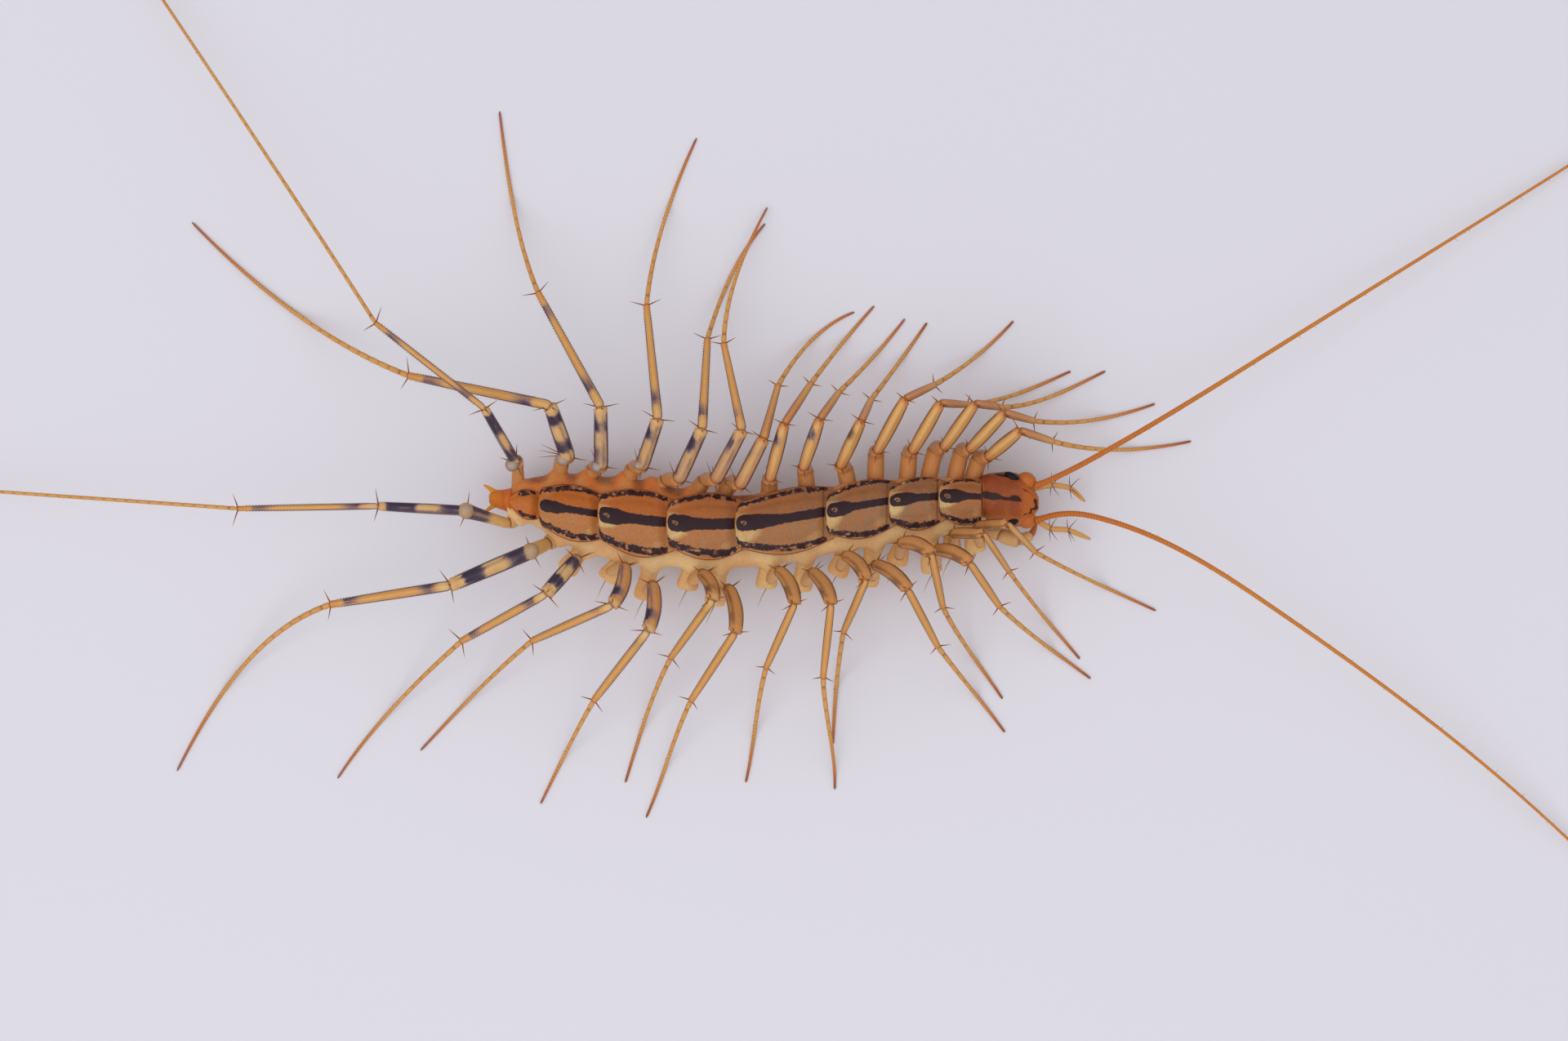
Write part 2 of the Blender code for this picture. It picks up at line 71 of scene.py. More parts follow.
# How far a plate is tucked under the one before it, how wide it is there, the share at which it
# starts to round off, and how far ahead of its front its swell begins
TUCK = 0.45
NOTCH = 0.72
SHOULDER = 0.9
LAST_SHOULDER = 0.3
LEAD = 0.15
# Where the head meets the first plate, then each plate's rear end and its reach to both sides
HEAD_SEAM = 13.3
Plate = namedtuple("Plate", "rear left right")
PLATES = (
    Plate(11.0, 0.98, 1.60),
    Plate(8.3, 1.12, 1.78),
    Plate(4.9, 1.36, 1.84),
    Plate(0.0, 1.62, 1.98),
    Plate(-3.7, 1.70, 1.96),
    Plate(-7.4, 1.65, 2.04),
    Plate(-10.6, 1.38, 1.70),
    Plate(-12.2, 0.76, 0.92),
)
LAST_PLATE = len(PLATES) - 1
SLIT_PLATES = 6
PLATE_THIN = 0.13
PLATE_STEP = 0.2

# The marks of each plate: the radius of the bulb that ends its stripe, half the stripe's width, the
# length over which the bulb narrows to it, then how far in from the left and the right edge the side
# bands run and half their thickness, then the cream patch behind the bulb on the right: its length,
# its width and its strength, and the strength of the left one
Marks = namedtuple("Marks", "bulb stripe neck left right cream left_cream")
MARKS = (
    Marks(0.38, 0.18, 0.8, (0.12, 0.07), (0.22, 0.15), (1.0, 0.42, 0.95), 0.6),
    Marks(0.36, 0.21, 0.8, (0.13, 0.08), (0.26, 0.19), (0.95, 0.75, 0.95), 0.6),
    Marks(0.40, 0.21, 0.8, (0.20, 0.12), (0.26, 0.17), (1.0, 0.85, 0.85), 0.5),
    Marks(0.44, 0.26, 2.0, (0.25, 0.13), (0.38, 0.18), (1.6, 0.95, 0.85), 0.5),
    Marks(0.47, 0.31, 0.8, (0.22, 0.14), (0.40, 0.23), (1.3, 0.62, 0.95), 0.45),
    Marks(0.45, 0.28, 1.0, (0.23, 0.16), (0.40, 0.22), (1.25, 0.4, 0.9), 0.65),
    Marks(0.34, 0.20, 0.8, (0.22, 0.15), (0.34, 0.17), (0.6, 0.25, 0.2), 0.15),
    Marks(0.00, 0.00, 0.0, (0.20, 0.15), (0.20, 0.13), (0, 0, 0), 0),
)
BULB_AT = 0.6
STOMA_AT = 0.5
LEFT_CREAM = (0.85, 0.24)

# The skin between the plates and the legs: how far it bulges past the plates on each side
SKIN_ENDS = (13.6, -12.3)
SKIN_RIGHT = 0.8
SKIN_LEFT = 0.05
SKIN_TAIL_LEFT = 0.75
SKIN_TOP = 3.15
SKIN_ROWS = 210
SKIN_SPOTS = 60

# The telson, as stations to its tip: share of the way, half width, top, underside. Then a clasper's
# line, forward of the tip, out from the midline and up, and its radii
TELSON_END = -13.3
TELSON_STATIONS = (
    (0, 0.68, 3.35, 1.8),
    (0.5, 0.53, 3.1, 1.95),
    (0.85, 0.38, 2.9, 2.1),
    (1, 0.22, 2.7, 2.3),
)
CLASPER = ((0.6, 0.26, 2.6), (0.2, 0.42, 2.55), (-0.05, 0.6, 2.6), (-0.3, 0.74, 2.65))
CLASPER_R = (0.16, 0.14, 0.1, 0.03)

# The head, as stations from the neck to the brow: forward, half width, top, underside
HEAD_STATIONS = (
    (13.40, 1.20, 3.66, 1.80),
    (14.10, 1.36, 3.85, 1.75),
    (14.90, 1.47, 3.80, 1.75),
    (15.50, 1.38, 3.65, 1.85),
    (16.00, 1.08, 3.40, 2.00),
    (16.25, 0.78, 3.15, 2.20),
    (16.45, 0.40, 2.95, 2.45),
)
EYE = Vector((15.0, 1.22, 3.15))
EYE_SIZE = Vector((0.90, 0.46, 0.60))
EYE_TURN = 30
BROW_PINCH = 0.2
NECK_GROOVE = 13.52
SECOND_GROOVE = 13.66

# The orange cheeks beside the brow: side, forward, out from the midline, radius
CHEEKS = ((1, 15.75, 1.06, 0.52), (-1, 15.82, 1.02, 0.46))
CHEEK_HEIGHT = 2.7

# The head's dark marks: blobs as forward, left of the midline and two radii, and the brow's line
HEAD_BLOBS = (
    (13.95, 0.06, 0.5, 0.22),
    (14.6, 0.02, 0.3, 0.09),
    (15.15, 0.04, 0.4, 0.17),
    (13.6, 0.1, 0.3, 0.22),
)
BROW_LINE = (
    (15.6, 0.62),
    (15.9, 0.5),
    (16.1, 0.4),
    (16.3, 0.05),
    (16.32, -0.3),
    (16.05, -0.42),
    (16.0, -0.62),
    (15.6, -0.78),
)

# The poison claws and the palps, joint by joint: forward, left of the midline, up
LEFT_CLAW = (
    (13.8, 0.7, 1.15), (14.5, 0.98, 1.2), (15.4, 1.12, 1.25), (16.0, 0.95, 1.0), (16.3, 0.5, 0.8)
)
RIGHT_CLAW = (
    (13.7, -1.6, 1.15), (14.4, -2.0, 1.4), (15.4, -2.2, 1.6), (16.1, -1.8, 1.3), (16.4, -1.1, 0.9)
)
PALP_ROOT = 16.1
LEFT_PALP = ((16.15, 0.75, 1.65), (17.2, 0.95, 1.6), (18.2, 0.8, 1.4), (19.0, 0.05, 0.8))
RIGHT_PALP = ((16.15, -0.8, 1.65), (17.1, -1.45, 1.6), (18.1, -1.5, 1.4), (19.3, -2.0, 0.8))
# Their hidden roots: forward, the share of the first joint's way out from the midline, up
CLAW_BASE = (13.2, 0.45, 1.9)
PALP_BASE = (15.3, 0.6, 2.1)
# The radius at the start, the middle and the end of each of their parts
CLAW_GIRTHS = (
    (0.3, 0.36, 0.36), (0.36, 0.4, 0.38), (0.38, 0.42, 0.36), (0.33, 0.32, 0.24), (0.22, 0.15, 0.05)
)
PALP_GIRTHS = ((0.2, 0.22, 0.18), (0.18, 0.17, 0.16), (0.15, 0.15, 0.14), (0.13, 0.14, 0.06))

# The chin plate: where it starts, its length, half width, and the heights of its top and underside
CHIN_START = 13.3
CHIN_LENGTH = 1.9
CHIN_HALF = 0.95
CHIN_TOP = 1.85
CHIN_UNDER = 1.2

# How far a left coxa ends past its plate and above the hips, how far a right one ends out from its
# haunch, and the run of the last right ones
COXA_REACH = 0.6
COXA_RISE = 0.15
COXA_OUT = 1.05
LAST_COXA = Vector((-0.5, -0.3, 0.15))
# The plump right legs whose femora bow, first and last, and how far
PLUMP_LEGS = (3, 12)
BOW = 0.2
# Heights of the joints, the share of a tarsus at which it lands, and how steeply it falls till then
HAUNCH_LEFT = 3.9
HAUNCH_RIGHT = 4.3
KNEE_LEFT = 5.3
KNEE_RIGHT = 6.2
ANKLE_LEFT = 2.6
ANKLE_RIGHT = 3.4
LANDS = 0.62
FALL_POWER = 1.3

# One row a leg: where the prefemur ends, then the length and heading of femur and tibia, then
# the tarsus's length and its headings at the start, the middle and the tip. Where a leg differs from
# the others come heights of knee and ankle, the share at which it lands, and its coxa's way back
Leg = namedtuple("Leg", "at femur tibia tarsus knee ankle lands back", defaults=(None,) * 4)
LEFT_LEGS = (
    Leg((13.7, 3.1), (2.2, 40), (1.9, -17), (7.7, -15, 1, 12)),
    Leg((12.7, 3.5), (2.7, 47), (1.7, -14), (6.8, -7, 9, 20)),
    Leg((11.3, 3.6), (2.9, 55), (1.5, -7), (6.1, 2, 22, 26)),
    Leg((9.6, 3.4), (3.0, 60), (1.5, -2), (6.0, 4, 20, 24)),
    Leg((7.7, 3.4), (3.2, 62), (1.8, 26), (5.6, 30, 39, 48)),
    Leg((5.7, 2.6), (2.7, 65), (1.3, 65), (5.2, 52, 54, 56)),
    Leg((3.7, 2.5), (2.8, 71), (1.8, 55), (5.4, 44, 48, 53)),
    Leg((1.9, 1.9), (3.1, 75), (2.6, 57), (5.5, 54, 51, 48)),
    Leg((0.3, 1.6), (2.8, 63), (3.0, 75), (5.9, 60, 46, 20)),
    Leg((-1.0, 1.9), (3.0, 62), (4.8, 102), (7.9, 89, 71, 62), ankle=3.2, lands=1.15),
    Leg((-3.0, 1.9), (3.0, 65), (4.9, 87), (7.1, 74, 65, 48), lands=0.45),
    Leg((-5.0, 2.6), (2.7, 71), (6.2, 96), (9.6, 85, 73, 65), ankle=3.0),
    Leg((-7.2, 2.6), (3.2, 90), (7.1, 119), (10.2, 113, 101, 97), ankle=3.0, lands=0.55),
    Leg((-9.0, 3.1), (2.9, 108), (7.9, 168), (14.7, 159, 144, 134), knee=6.4, ankle=3.4, lands=0.5),
    Leg((-11.8, 2.8), (3.3, 119), (7.5, 142), (35.4, 123, 124, 124), knee=7.0, ankle=5.8, lands=0.8),
)
RIGHT_LEGS = (
    Leg((13.1, -0.65), (1.6, 6), (2.2, -45), (7.4, -29, -25, -25)),
    Leg((11.8, -1.0), (1.6, -1), (2.5, -55), (6.2, -54, -50, -50)),
    Leg((10.9, -1.9), (1.9, -22), (2.9, -55), (6.4, -44, -37, -37)),
    Leg((9.0, -1.5), (1.7, -21), (3.0, -77), (6.0, -63, -55, -57)),
    Leg((7.6, -2.7), (2.2, -38), (3.5, -62), (6.0, -53, -51, -54)),
    Leg((6.0, -2.2), (1.7, -50), (3.1, -113), (6.2, -99, -95, -92), lands=0.5),
    Leg((4.2, -3.1), (2.0, -60), (4.0, -96), (6.2, -88, -81, -92), lands=0.9),
    Leg((2.4, -3.0), (2.0, -65), (3.8, -114), (6.4, -105, -98, -103)),
    Leg((-0.3, -4.0), (2.4, -82), (4.4, -123), (6.9, -116, -109, -114)),
    Leg((-1.7, -3.2), (1.5, -69), (3.9, -126), (7.3, -118, -109, -107)),
    Leg((-4.4, -3.8), (2.5, -96), (4.8, -128), (6.4, -121, -117, -116), back=0.35),
    Leg((-5.9, -2.8), (2.2, -108), (4.8, -156), (8.6, -141, -135, -133)),
    Leg((-8.5, -2.4), (2.5, -131), (5.3, -151), (10.2, -139, -133, -123), ankle=3.2, back=0.5),
    Leg((-11.0, -2.0), (4.7, -157), (6.6, -171), (12.8, -162, -130, -117), knee=5.0, ankle=3.4),
    Leg((-14.5, 0.2), (4.7, 177), (7.6, 181), (35.4, 176, 176, 176), knee=5.2, ankle=4.4, lands=0.8),
)

# The feelers: their root, the height and share of the way of their crest, the share at which they land,
# and the length of each stretch with its headings at the start, the middle and the end
ANTENNA_ROOT = Vector((16.55, 1.0, 2.9))
ANTENNA_CREST = 4.4
ANTENNA_CREST_SHARE = 0.12
ANTENNA_LANDS = 0.8
LEFT_ANTENNA = ((3.3, 22, 26, 29), (10.0, 29, 31, 32), (36.0, 32, 32, 34))
RIGHT_ANTENNA = ((3.0, 25, 5, -13), (10.0, -13, -27, -34), (36.0, -34, -41, -56))
FEELER_STEP = 0.4
FEELER_TIP = 0.055
FEELER_TAPER = 0.11

# What a leg's parts measure: radius at the start, the middle and the end, of a tarsus at both ends
Girth = namedtuple("Girth", "coxa prefemur femur tibia tarsus")
FRONT_LEFT = Girth(
    (0.45, 0.46, 0.42), (0.42, 0.4, 0.31), (0.28, 0.36, 0.27), (0.22, 0.22, 0.17), (0.145, 0.06)
)
FIRST_RIGHT = Girth(
    (0.28, 0.28, 0.27), (0.26, 0.3, 0.28), (0.27, 0.32, 0.26), (0.16, 0.18, 0.15), (0.13, 0.06)
)
FRONT_RIGHT = Girth(
    (0.28, 0.28, 0.27), (0.26, 0.32, 0.3), (0.31, 0.42, 0.35), (0.2, 0.22, 0.17), (0.145, 0.06)
)
REAR_LEFT = Girth(
    (0.42, 0.44, 0.4), (0.36, 0.4, 0.4), (0.38, 0.38, 0.34), (0.27, 0.22, 0.18), (0.14, 0.06)
)
REAR_RIGHT = Girth(
    (0.28, 0.28, 0.27), (0.26, 0.32, 0.32), (0.34, 0.41, 0.36), (0.22, 0.23, 0.18), (0.14, 0.06)
)
FOURTEENTH = Girth(
    (0.45, 0.42, 0.4), (0.34, 0.38, 0.4), (0.42, 0.42, 0.35), (0.28, 0.26, 0.2), (0.16, 0.06)
)
FIFTEENTH = Girth(
    (0.38, 0.34, 0.3), (0.28, 0.32, 0.42), (0.27, 0.27, 0.23), (0.17, 0.17, 0.14), (0.11, 0.06)
)
PARTS = ("coxa", "prefemur", "femur", "tibia", "tarsus")
# The radius of each leg's glassy knuckle, by the leg's number and side
KNUCKLES = {(12, 1): 0.28, (13, 1): 0.34, (14, 1): 0.42, (15, 1): 0.38, (14, -1): 0.47, (15, -1): 0.44}

# The rings of a tarsus, coarse up to a share of it and then fine, and those of a feeler
RINGS_START = 0.45
COARSE_RING = 0.62
COARSE_SHARE = 0.42
FINE_RING = 0.2
LONG_TARSUS = 20
LONG_FINE_RING = 0.26
FEELER_RING = 0.16
RING_DEPTH = 0.45
# Along one ring: the share of its length, its size there and the depth of its dark groove
RING_MARKS = ((0.1, 0.9, 1.0), (0.3, 0.98, 0.1), (0.85, 1.05, 0.0), (0.98, 0.97, 0.6))

# Where stations stand off a joint, and how far a bend may reach, in length and in share of a part
NEAR_JOINT = (0, 0.05, 0.1, 0.16, 0.24, 0.34, 0.46)
BEND_REACH = 0.32
BEND_SHARE = 0.38

# How far apart the teeth along a leg's edges stand, and the paint of its spines
TOOTH_PITCH = 0.17
HORN = (0.1, 0, 0.3, 0)

# The paint of every vertex, and the angle from which an edge looks sharp
PAINTS = ("dark", "pale", "warm", "ring", "along", "top", "side")
SHARP_ANGLE = 55

# The bake map: the margin beside a column, the patches of spines in a row, and how full each is
MARGIN = 0.02
PATCHES = 96
PATCH_FILL = 0.7

# What the photograph takes in, in the frame's millimetres
PICTURE_MIDDLE = (4.47, -5.93)
PICTURE_WIDTH = 85.33

# The studio, in metres, but the camera's sensor in millimetres. The lamps have their name, place
# from the picture's middle, size and power
CAMERA_HEIGHT = 0.5
FLOOR_REACH = 1.5
SENSOR_WIDTH = 36
LAMPS = (
    ("key", Vector((-0.18, -0.2, 0.5)), 0.7, 1.75),
    ("fill", Vector((0.3, 0.22, 0.5)), 0.7, 0.4),
)


def midline(x):
    """How far left of the mark the trunk's middle lies at x."""
    wave = FRONT_WAVE if x > BEND_TROUGH else REAR_WAVE
    return BEND_MEAN - BEND_SWING * math.cos(math.tau * (x - BEND_TROUGH) / wave)


def leaning(x, lateral, z):
    """A point of the trunk's section, given left of the midline and up, where the lean puts it."""
    return Vector((x, midline(x) + lateral, z - LEAN * lateral))


def smooth(value, low, high):
    """0 up to low, 1 from high on, and a soft rise between."""
    share = min(1.0, max(0.0, (value - low) / (high - low)))
    return share * share * (3 - 2 * share)


def bell(value, middle, width):
    """1 at the middle, and next to nothing two widths from it."""
    return math.exp(-(((value - middle) / width) ** 2))


def speck(x, y, size, seed=0.0):
    """Soft noise from -1 to 1 with features of a size."""
    return noise.noise(Vector((x / size, y / size, seed)))


def spline(rows, share):
    """A row between given rows, on a smooth curve through them."""
    spot = share * (len(rows) - 1)
    i = min(int(spot), len(rows) - 2)
    t = spot - i
    ends = [rows[max(0, i - 1)], rows[i], rows[i + 1], rows[min(len(rows) - 1, i + 2)]]
    made = []
    for a, b, c, d in zip(*ends):
        made.append(b + 0.5 * t * (c - a + t * (2 * a - 5 * b + 4 * c - d + t * (3 * (b - c) + d - a))))
    return made


def around(count):
    """Cosine and sine of evenly spaced turns, once round."""
    turns = [math.tau * i / count for i in range(count)]
    return [(math.cos(turn), math.sin(turn)) for turn in turns]


def globe(count):
    """Rows of unit steps out from a ball's middle, from pole to pole, with the poles left out."""
    rows = []
    for i in range(1, 16):
        swing = math.pi * i / 16
        girth, rise = math.sin(swing), math.cos(swing)
        rows.append([Vector((girth * first, girth * second, rise)) for first, second in around(count)])
    return rows


def oval(x, half, top, under, count):
    """A rounded section across the body, flatter below than above, with how far up each point faces."""
    middle, tall = (top + under) / 2, (top - under) / 2
    ring = []
    for i in range(count):
        turn = -math.tau * i / count - math.pi / 2
        lateral = half * math.copysign(abs(math.cos(turn)) ** 0.85, math.cos(turn))
        ring.append((Vector((x, midline(x) + lateral, middle + tall * math.sin(turn))), math.sin(turn)))
    return ring


# Building a piece


class Shape:
    """Points with their paint, and faces with their corners on the bake map."""

    def __init__(self, rows=None, columns=1):
        self.places = []
        self.paint = []
        self.faces = []
        self.corners = []
        self.patches = 0
        if rows:
            self.wrap(rows, columns)

    def row(self, spots):
        """Adds (place, paint) pairs and returns their numbers."""
        start = len(self.places)
        for place, paint in spots:
            self.places.append(place)
            self.paint.append(paint)
        return list(range(start, len(self.places)))

    def face(self, numbers, corners):
        self.faces.append(numbers)
        self.corners += corners

    def wrap(self, rows, columns=1):
        """A closed skin round rows of equally many spots. The bake map has it in side by side columns."""
        numbers = [self.row(spots) for spots in rows]
        deep = math.ceil((len(rows) - 1) / columns)
        wide = len(numbers[0])
        for i in range(len(rows) - 1):
            column, line = divmod(i, deep)
            here, after = numbers[i], numbers[i + 1]
            for j in range(wide):
                k = (j + 1) % wide
                left = (column + MARGIN + (1 - 2 * MARGIN) * j / wide) / columns
                right = (column + MARGIN + (1 - 2 * MARGIN) * (j + 1) / wide) / columns
                low, high = (1 - MARGIN) * line / deep, (1 - MARGIN) * (line + 1) / deep
                square = [(left, low), (right, low), (right, high), (left, high)]
                self.face((here[j], here[k], after[k], after[j]), square)
        for ring, height in ((numbers[0][::-1], 0.985), (numbers[-1], 0.995)):
            self.face(ring, [(0.5 + 0.4 * j / wide, height) for j in range(wide)])

    def spine(self, root, reach, thick, bend=Vector((0, 0, 0)), paint=(0, 0, 0, 0)):
        """A stiff pointed bristle from a root, bent a little on its way."""
        across = reach.cross(UP)
        if across.length < 0.001:
            across = Vector((1, 0, 0))
        across.normalize()
        other = reach.cross(across).normalized()
        rings = []
        for share in (0.0, 0.4, 0.75):
            middle = root + reach * share + bend * share * share
            size = thick * (1 - share) ** 0.7
            spots = []
            for first, second in around(4):
                offset = (across * first + other * second) * size
                spots.append((middle + offset, (*paint, share, 0.0, 0.0)))
            rings.append(self.row(spots))
        tip = self.row([(root + reach + bend, (*paint, 1.0, 0.0, 0.0))])[0]
        u, v = (self.patches % PATCHES) / PATCHES, (self.patches // PATCHES) / PATCHES
        self.patches += 1
        size = PATCH_FILL / PATCHES
        patch = [(u, v), (u + size, v), (u + size, v + size), (u, v + size)]
        for here, after in zip(rings, rings[1:]):
            for j in range(4):
                k = (j + 1) % 4
                self.face((here[j], here[k], after[k], after[j]), patch)
        for j in range(4):
            self.face((rings[-1][j], rings[-1][(j + 1) % 4], tip), patch[:3])
        self.face(rings[0][::-1], patch)


def piece(name, shape, material, slot, *nodes):
    """Turns a shape into an object that rides on the body and stands for its nodes."""
    mesh = bpy.data.meshes.new(name)
    places = [Vector((x + MARK_X, y + MARK_Y, max(0, z))) * MM for x, y, z in shape.places]
    mesh.from_pydata(places, [], shape.faces)
    for i, channel in enumerate(PAINTS):
        layer = mesh.attributes.new(channel, "FLOAT", "POINT")
        layer.data.foreach_set("value", [paint[i] for paint in shape.paint])
    corners = mesh.uv_layers.new(name="OFBake")
    corners.data.foreach_set("uv", [value for corner in shape.corners for value in corner])
    mesh.materials.append(material)
    mesh.validate()
    mesh.shade_smooth()
    mesh.set_sharp_from_angle(angle=math.radians(SHARP_ANGLE))
    thing = bpy.data.objects.new(name, mesh)
    bpy.context.scene.collection.objects.link(thing)
    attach(thing, "root")
    if nodes:
        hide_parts(*nodes)


Station = namedtuple("Station", "place radius part share ring")


def sweep(shape, stations, coat, sides, columns=1):
    """A skin round a limb. coat gives dark, pale and warm for a part, a share of it, and top and side."""
    rows = []
    along, normal = 0.0, UP
    for i, station in enumerate(stations):
        before = stations[max(0, i - 1)].place
        after = stations[min(len(stations) - 1, i + 1)].place
        ahead = (after - before).normalized()
        along += (station.place - before).length
        lift = UP - ahead * ahead.z
        if lift.length < 0.3:
            lift = normal - ahead * normal.dot(ahead)
        normal = lift.normalized()
        across = normal.cross(ahead)
        spots = []
        for top, side in around(sides):
            place = station.place + (normal * top + across * side) * station.radius
            dark, pale, warm = coat(station.part, station.share, top, side)
            spots.append((place, (dark, pale, warm, station.ring, along, top, side)))
        rows.append(spots)
    shape.wrap(rows, columns)


def plain_coat(part, share, top, side):
    return 0.0, 0.0, 0.3


# Materials


def srgb(red, green, blue):
    """A colour as seen on a screen, from 0 to 255, in the linear values that shaders use."""
    linear = []
    for value in (red, green, blue):
        value /= 255
        linear.append(value / 12.92 if value <= 0.04045 else ((value + 0.055) / 1.055) ** 2.4)
    return (*linear, 1.0)


# How deep the relief of every material goes, and the scale of the grain along limbs
RELIEF = 0.02 * MM
LIMB_GRAIN = 5.0

# Colours that several materials share
STRAW = srgb(214, 160, 82)
ORANGE = srgb(192, 104, 40)
CREAM = srgb(226, 200, 150)
INK = srgb(44, 34, 58)
RUST = srgb(120, 52, 18)
BROWN = srgb(78, 50, 42)
VEIL = srgb(150, 122, 128)


class Painter:
    """Makes one material's nodes."""

    def __init__(self, name):
        self.material = bpy.data.materials.new(name)
        self.material.use_nodes = True
        self.tree = self.material.node_tree
        self.shader = self.tree.nodes["Principled BSDF"]

    def put(self, socket, value):
        if isinstance(value, bpy.types.NodeSocket):
            self.tree.links.new(value, socket)
        else:
            socket.default_value = value

    def node(self, kind, inputs, **settings):
        """Adds a node with its settings and its inputs, by name or number, and gives its outputs."""
        made = self.tree.nodes.new(kind)
        for name, value in settings.items():
            setattr(made, name, value)
        for socket, value in inputs.items():
            self.put(made.inputs[socket], value)
        return made.outputs

    def shade(self, inputs):
        """Sets inputs of the surface."""
        for name, value in inputs.items():
            self.put(self.shader.inputs[name], value)

    def channel(self, name):
        return self.node("ShaderNodeAttribute", {}, attribute_name=name)["Fac"]

    def math(self, operation, first, second):
        return self.node("ShaderNodeMath", {0: first, 1: second}, operation=operation)[0]

    def ramp(self, value, low, high, least=0.0, most=1.0):
        """Carries a value between low and high over to least and most, with soft ends."""
        inputs = {"Value": value, "From Min": low, "From Max": high, "To Min": least, "To Max": most}
        return self.node("ShaderNodeMapRange", inputs, interpolation_type="SMOOTHSTEP")[0]

    def mix(self, share, first, second, blend="MIX"):
        inputs = {0: share, 6: first, 7: second}
        return self.node("ShaderNodeMix", inputs, data_type="RGBA", blend_type=blend)[2]

    def noise(self, where, scale, detail=3.0, roughness=0.55):
        inputs = {"Vector": where, "Scale": scale, "Detail": detail, "Roughness": roughness}
        return self.node("ShaderNodeTexNoise", inputs)["Fac"]

    def cells(self, where, scale):
        return self.node("ShaderNodeTexVoronoi", {"Vector": where, "Scale": scale})["Distance"]

    def body_place(self):
        return self.node("ShaderNodeTexCoord", {})["Object"]

    def limb_place(self, stretch):
        """Along and round a limb, drawn out lengthwise, for grain that runs with the limb."""
        along = self.math("MULTIPLY", self.channel("along"), stretch)
        inputs = {0: along, 1: self.channel("top"), 2: self.channel("side")}
        return self.node("ShaderNodeCombineXYZ", inputs)[0]

    def bump(self, height, strength):
        inputs = {"Height": height, "Strength": strength, "Distance": RELIEF}
        self.shade({"Normal": self.node("ShaderNodeBump", inputs)[0]})


Look = namedtuple("Look", "base warm pale dark ring veil", defaults=(None,))


def cuticle(
    name, look, grain, on_limb=False,
    rough=(0.42, 0.6), deep=0.6, mottle=0.5, glow=0.18, soft=(0.33, 0.68), grit=0.72,
):
    """Horny, faintly see-through skin, with its colours from the paint, which holds pigment and in places
    painted shade and painted highlights, and a fine grain.

    look holds the colours, and grain is the noise's scale, over the body or along a limb. rough is
    the span of roughness, deep the strength of the relief, mottle how ragged the dark marks are and
    soft where they start and end. glow is the light let through, grit the grain's darkest shade."""
    paint = Painter(name)
    where = paint.limb_place(0.6) if on_limb else paint.body_place()
    fine = paint.noise(where, grain, 4.0, 0.6)
    cloud = paint.noise(where, grain / 9, 3.0)
    # The ground, clouded, grained and darker in the joints' grooves
    colour = paint.mix(paint.channel("warm"), look.base, look.warm)
    colour = paint.mix(paint.channel("pale"), colour, look.pale)
    colour = paint.mix(paint.ramp(cloud, 0.35, 0.7, 0.0, 0.22 if on_limb else 0.35), colour, look.warm)
    shade = paint.ramp(fine, 0.25, 0.75, grit, 1.4 - 0.39 * grit)
    colour = paint.mix(1.0, colour, shade, "MULTIPLY")
    ringed = paint.math("MULTIPLY", paint.channel("ring"), 0.75)
    colour = paint.mix(ringed, colour, look.ring)
    # The dark marks, ragged at their edges, and where a look has one, through a paler veil
    ragged = paint.math("MULTIPLY", paint.math("SUBTRACT", fine, 0.5), mottle)
    dark = paint.ramp(paint.math("ADD", paint.channel("dark"), ragged), *soft, 0.0, 0.95)
    if look.veil:
        colour = paint.mix(paint.ramp(dark, 0.0, 0.85), colour, paint.mix(dark, look.veil, look.dark))
    else:
        colour = paint.mix(dark, colour, look.dark)
    paint.shade({
        "Base Color": colour,
        "Roughness": paint.ramp(fine, 0.3, 0.7, *rough),
        "Subsurface Weight": glow,
        "Subsurface Radius": (1.0, 0.55, 0.3),
        "Subsurface Scale": 0.25 * MM,
        "Specular IOR Level": 0.25,
        "Coat Weight": 0.04,
        "Coat Roughness": 0.15,
    })
    paint.bump(fine, deep)
    return paint.material


def plate_cuticle():
    """Brown, finely pitted horn with wine-black marks and a rusty rim."""
    look = Look(
        base=srgb(140, 98, 66),
        warm=srgb(194, 102, 26),
        pale=srgb(216, 184, 126),
        dark=srgb(34, 8, 16),
        ring=srgb(120, 44, 16),
        veil=srgb(124, 82, 74),
    )
    return cuticle("plate_cuticle", look, grain=16000, deep=0.8)


def head_cuticle():
    """Red-brown horn with black marks."""
    look = Look(
        base=srgb(150, 70, 32),
        warm=srgb(200, 106, 36),
        pale=srgb(214, 152, 88),
        dark=srgb(36, 14, 12),
        ring=srgb(98, 38, 14),
    )
    return cuticle("head_cuticle", look, grain=15000)


def side_skin():
    """Soft, glowing skin of the flanks and the belly."""
    look = Look(
        base=srgb(222, 172, 104),
        warm=srgb(216, 124, 56),
        pale=srgb(232, 202, 150),
        dark=srgb(104, 56, 50),
        ring=srgb(176, 112, 62),
    )
    return cuticle("side_skin", look, grain=6000, deep=0.2, mottle=0.2, glow=0.45, grit=0.92)


def leg_cuticle(name, dark, veil=None):
    """Straw-coloured horn of a leg, whose dark bands have soft edges."""
    look = Look(STRAW, ORANGE, CREAM, dark, RUST, veil)
    bands = {"rough": (0.3, 0.42), "deep": 0.25, "mottle": 0.3, "soft": (0.1, 0.95), "grit": 0.9}
    return cuticle(name, look, LIMB_GRAIN, on_limb=True, **bands)


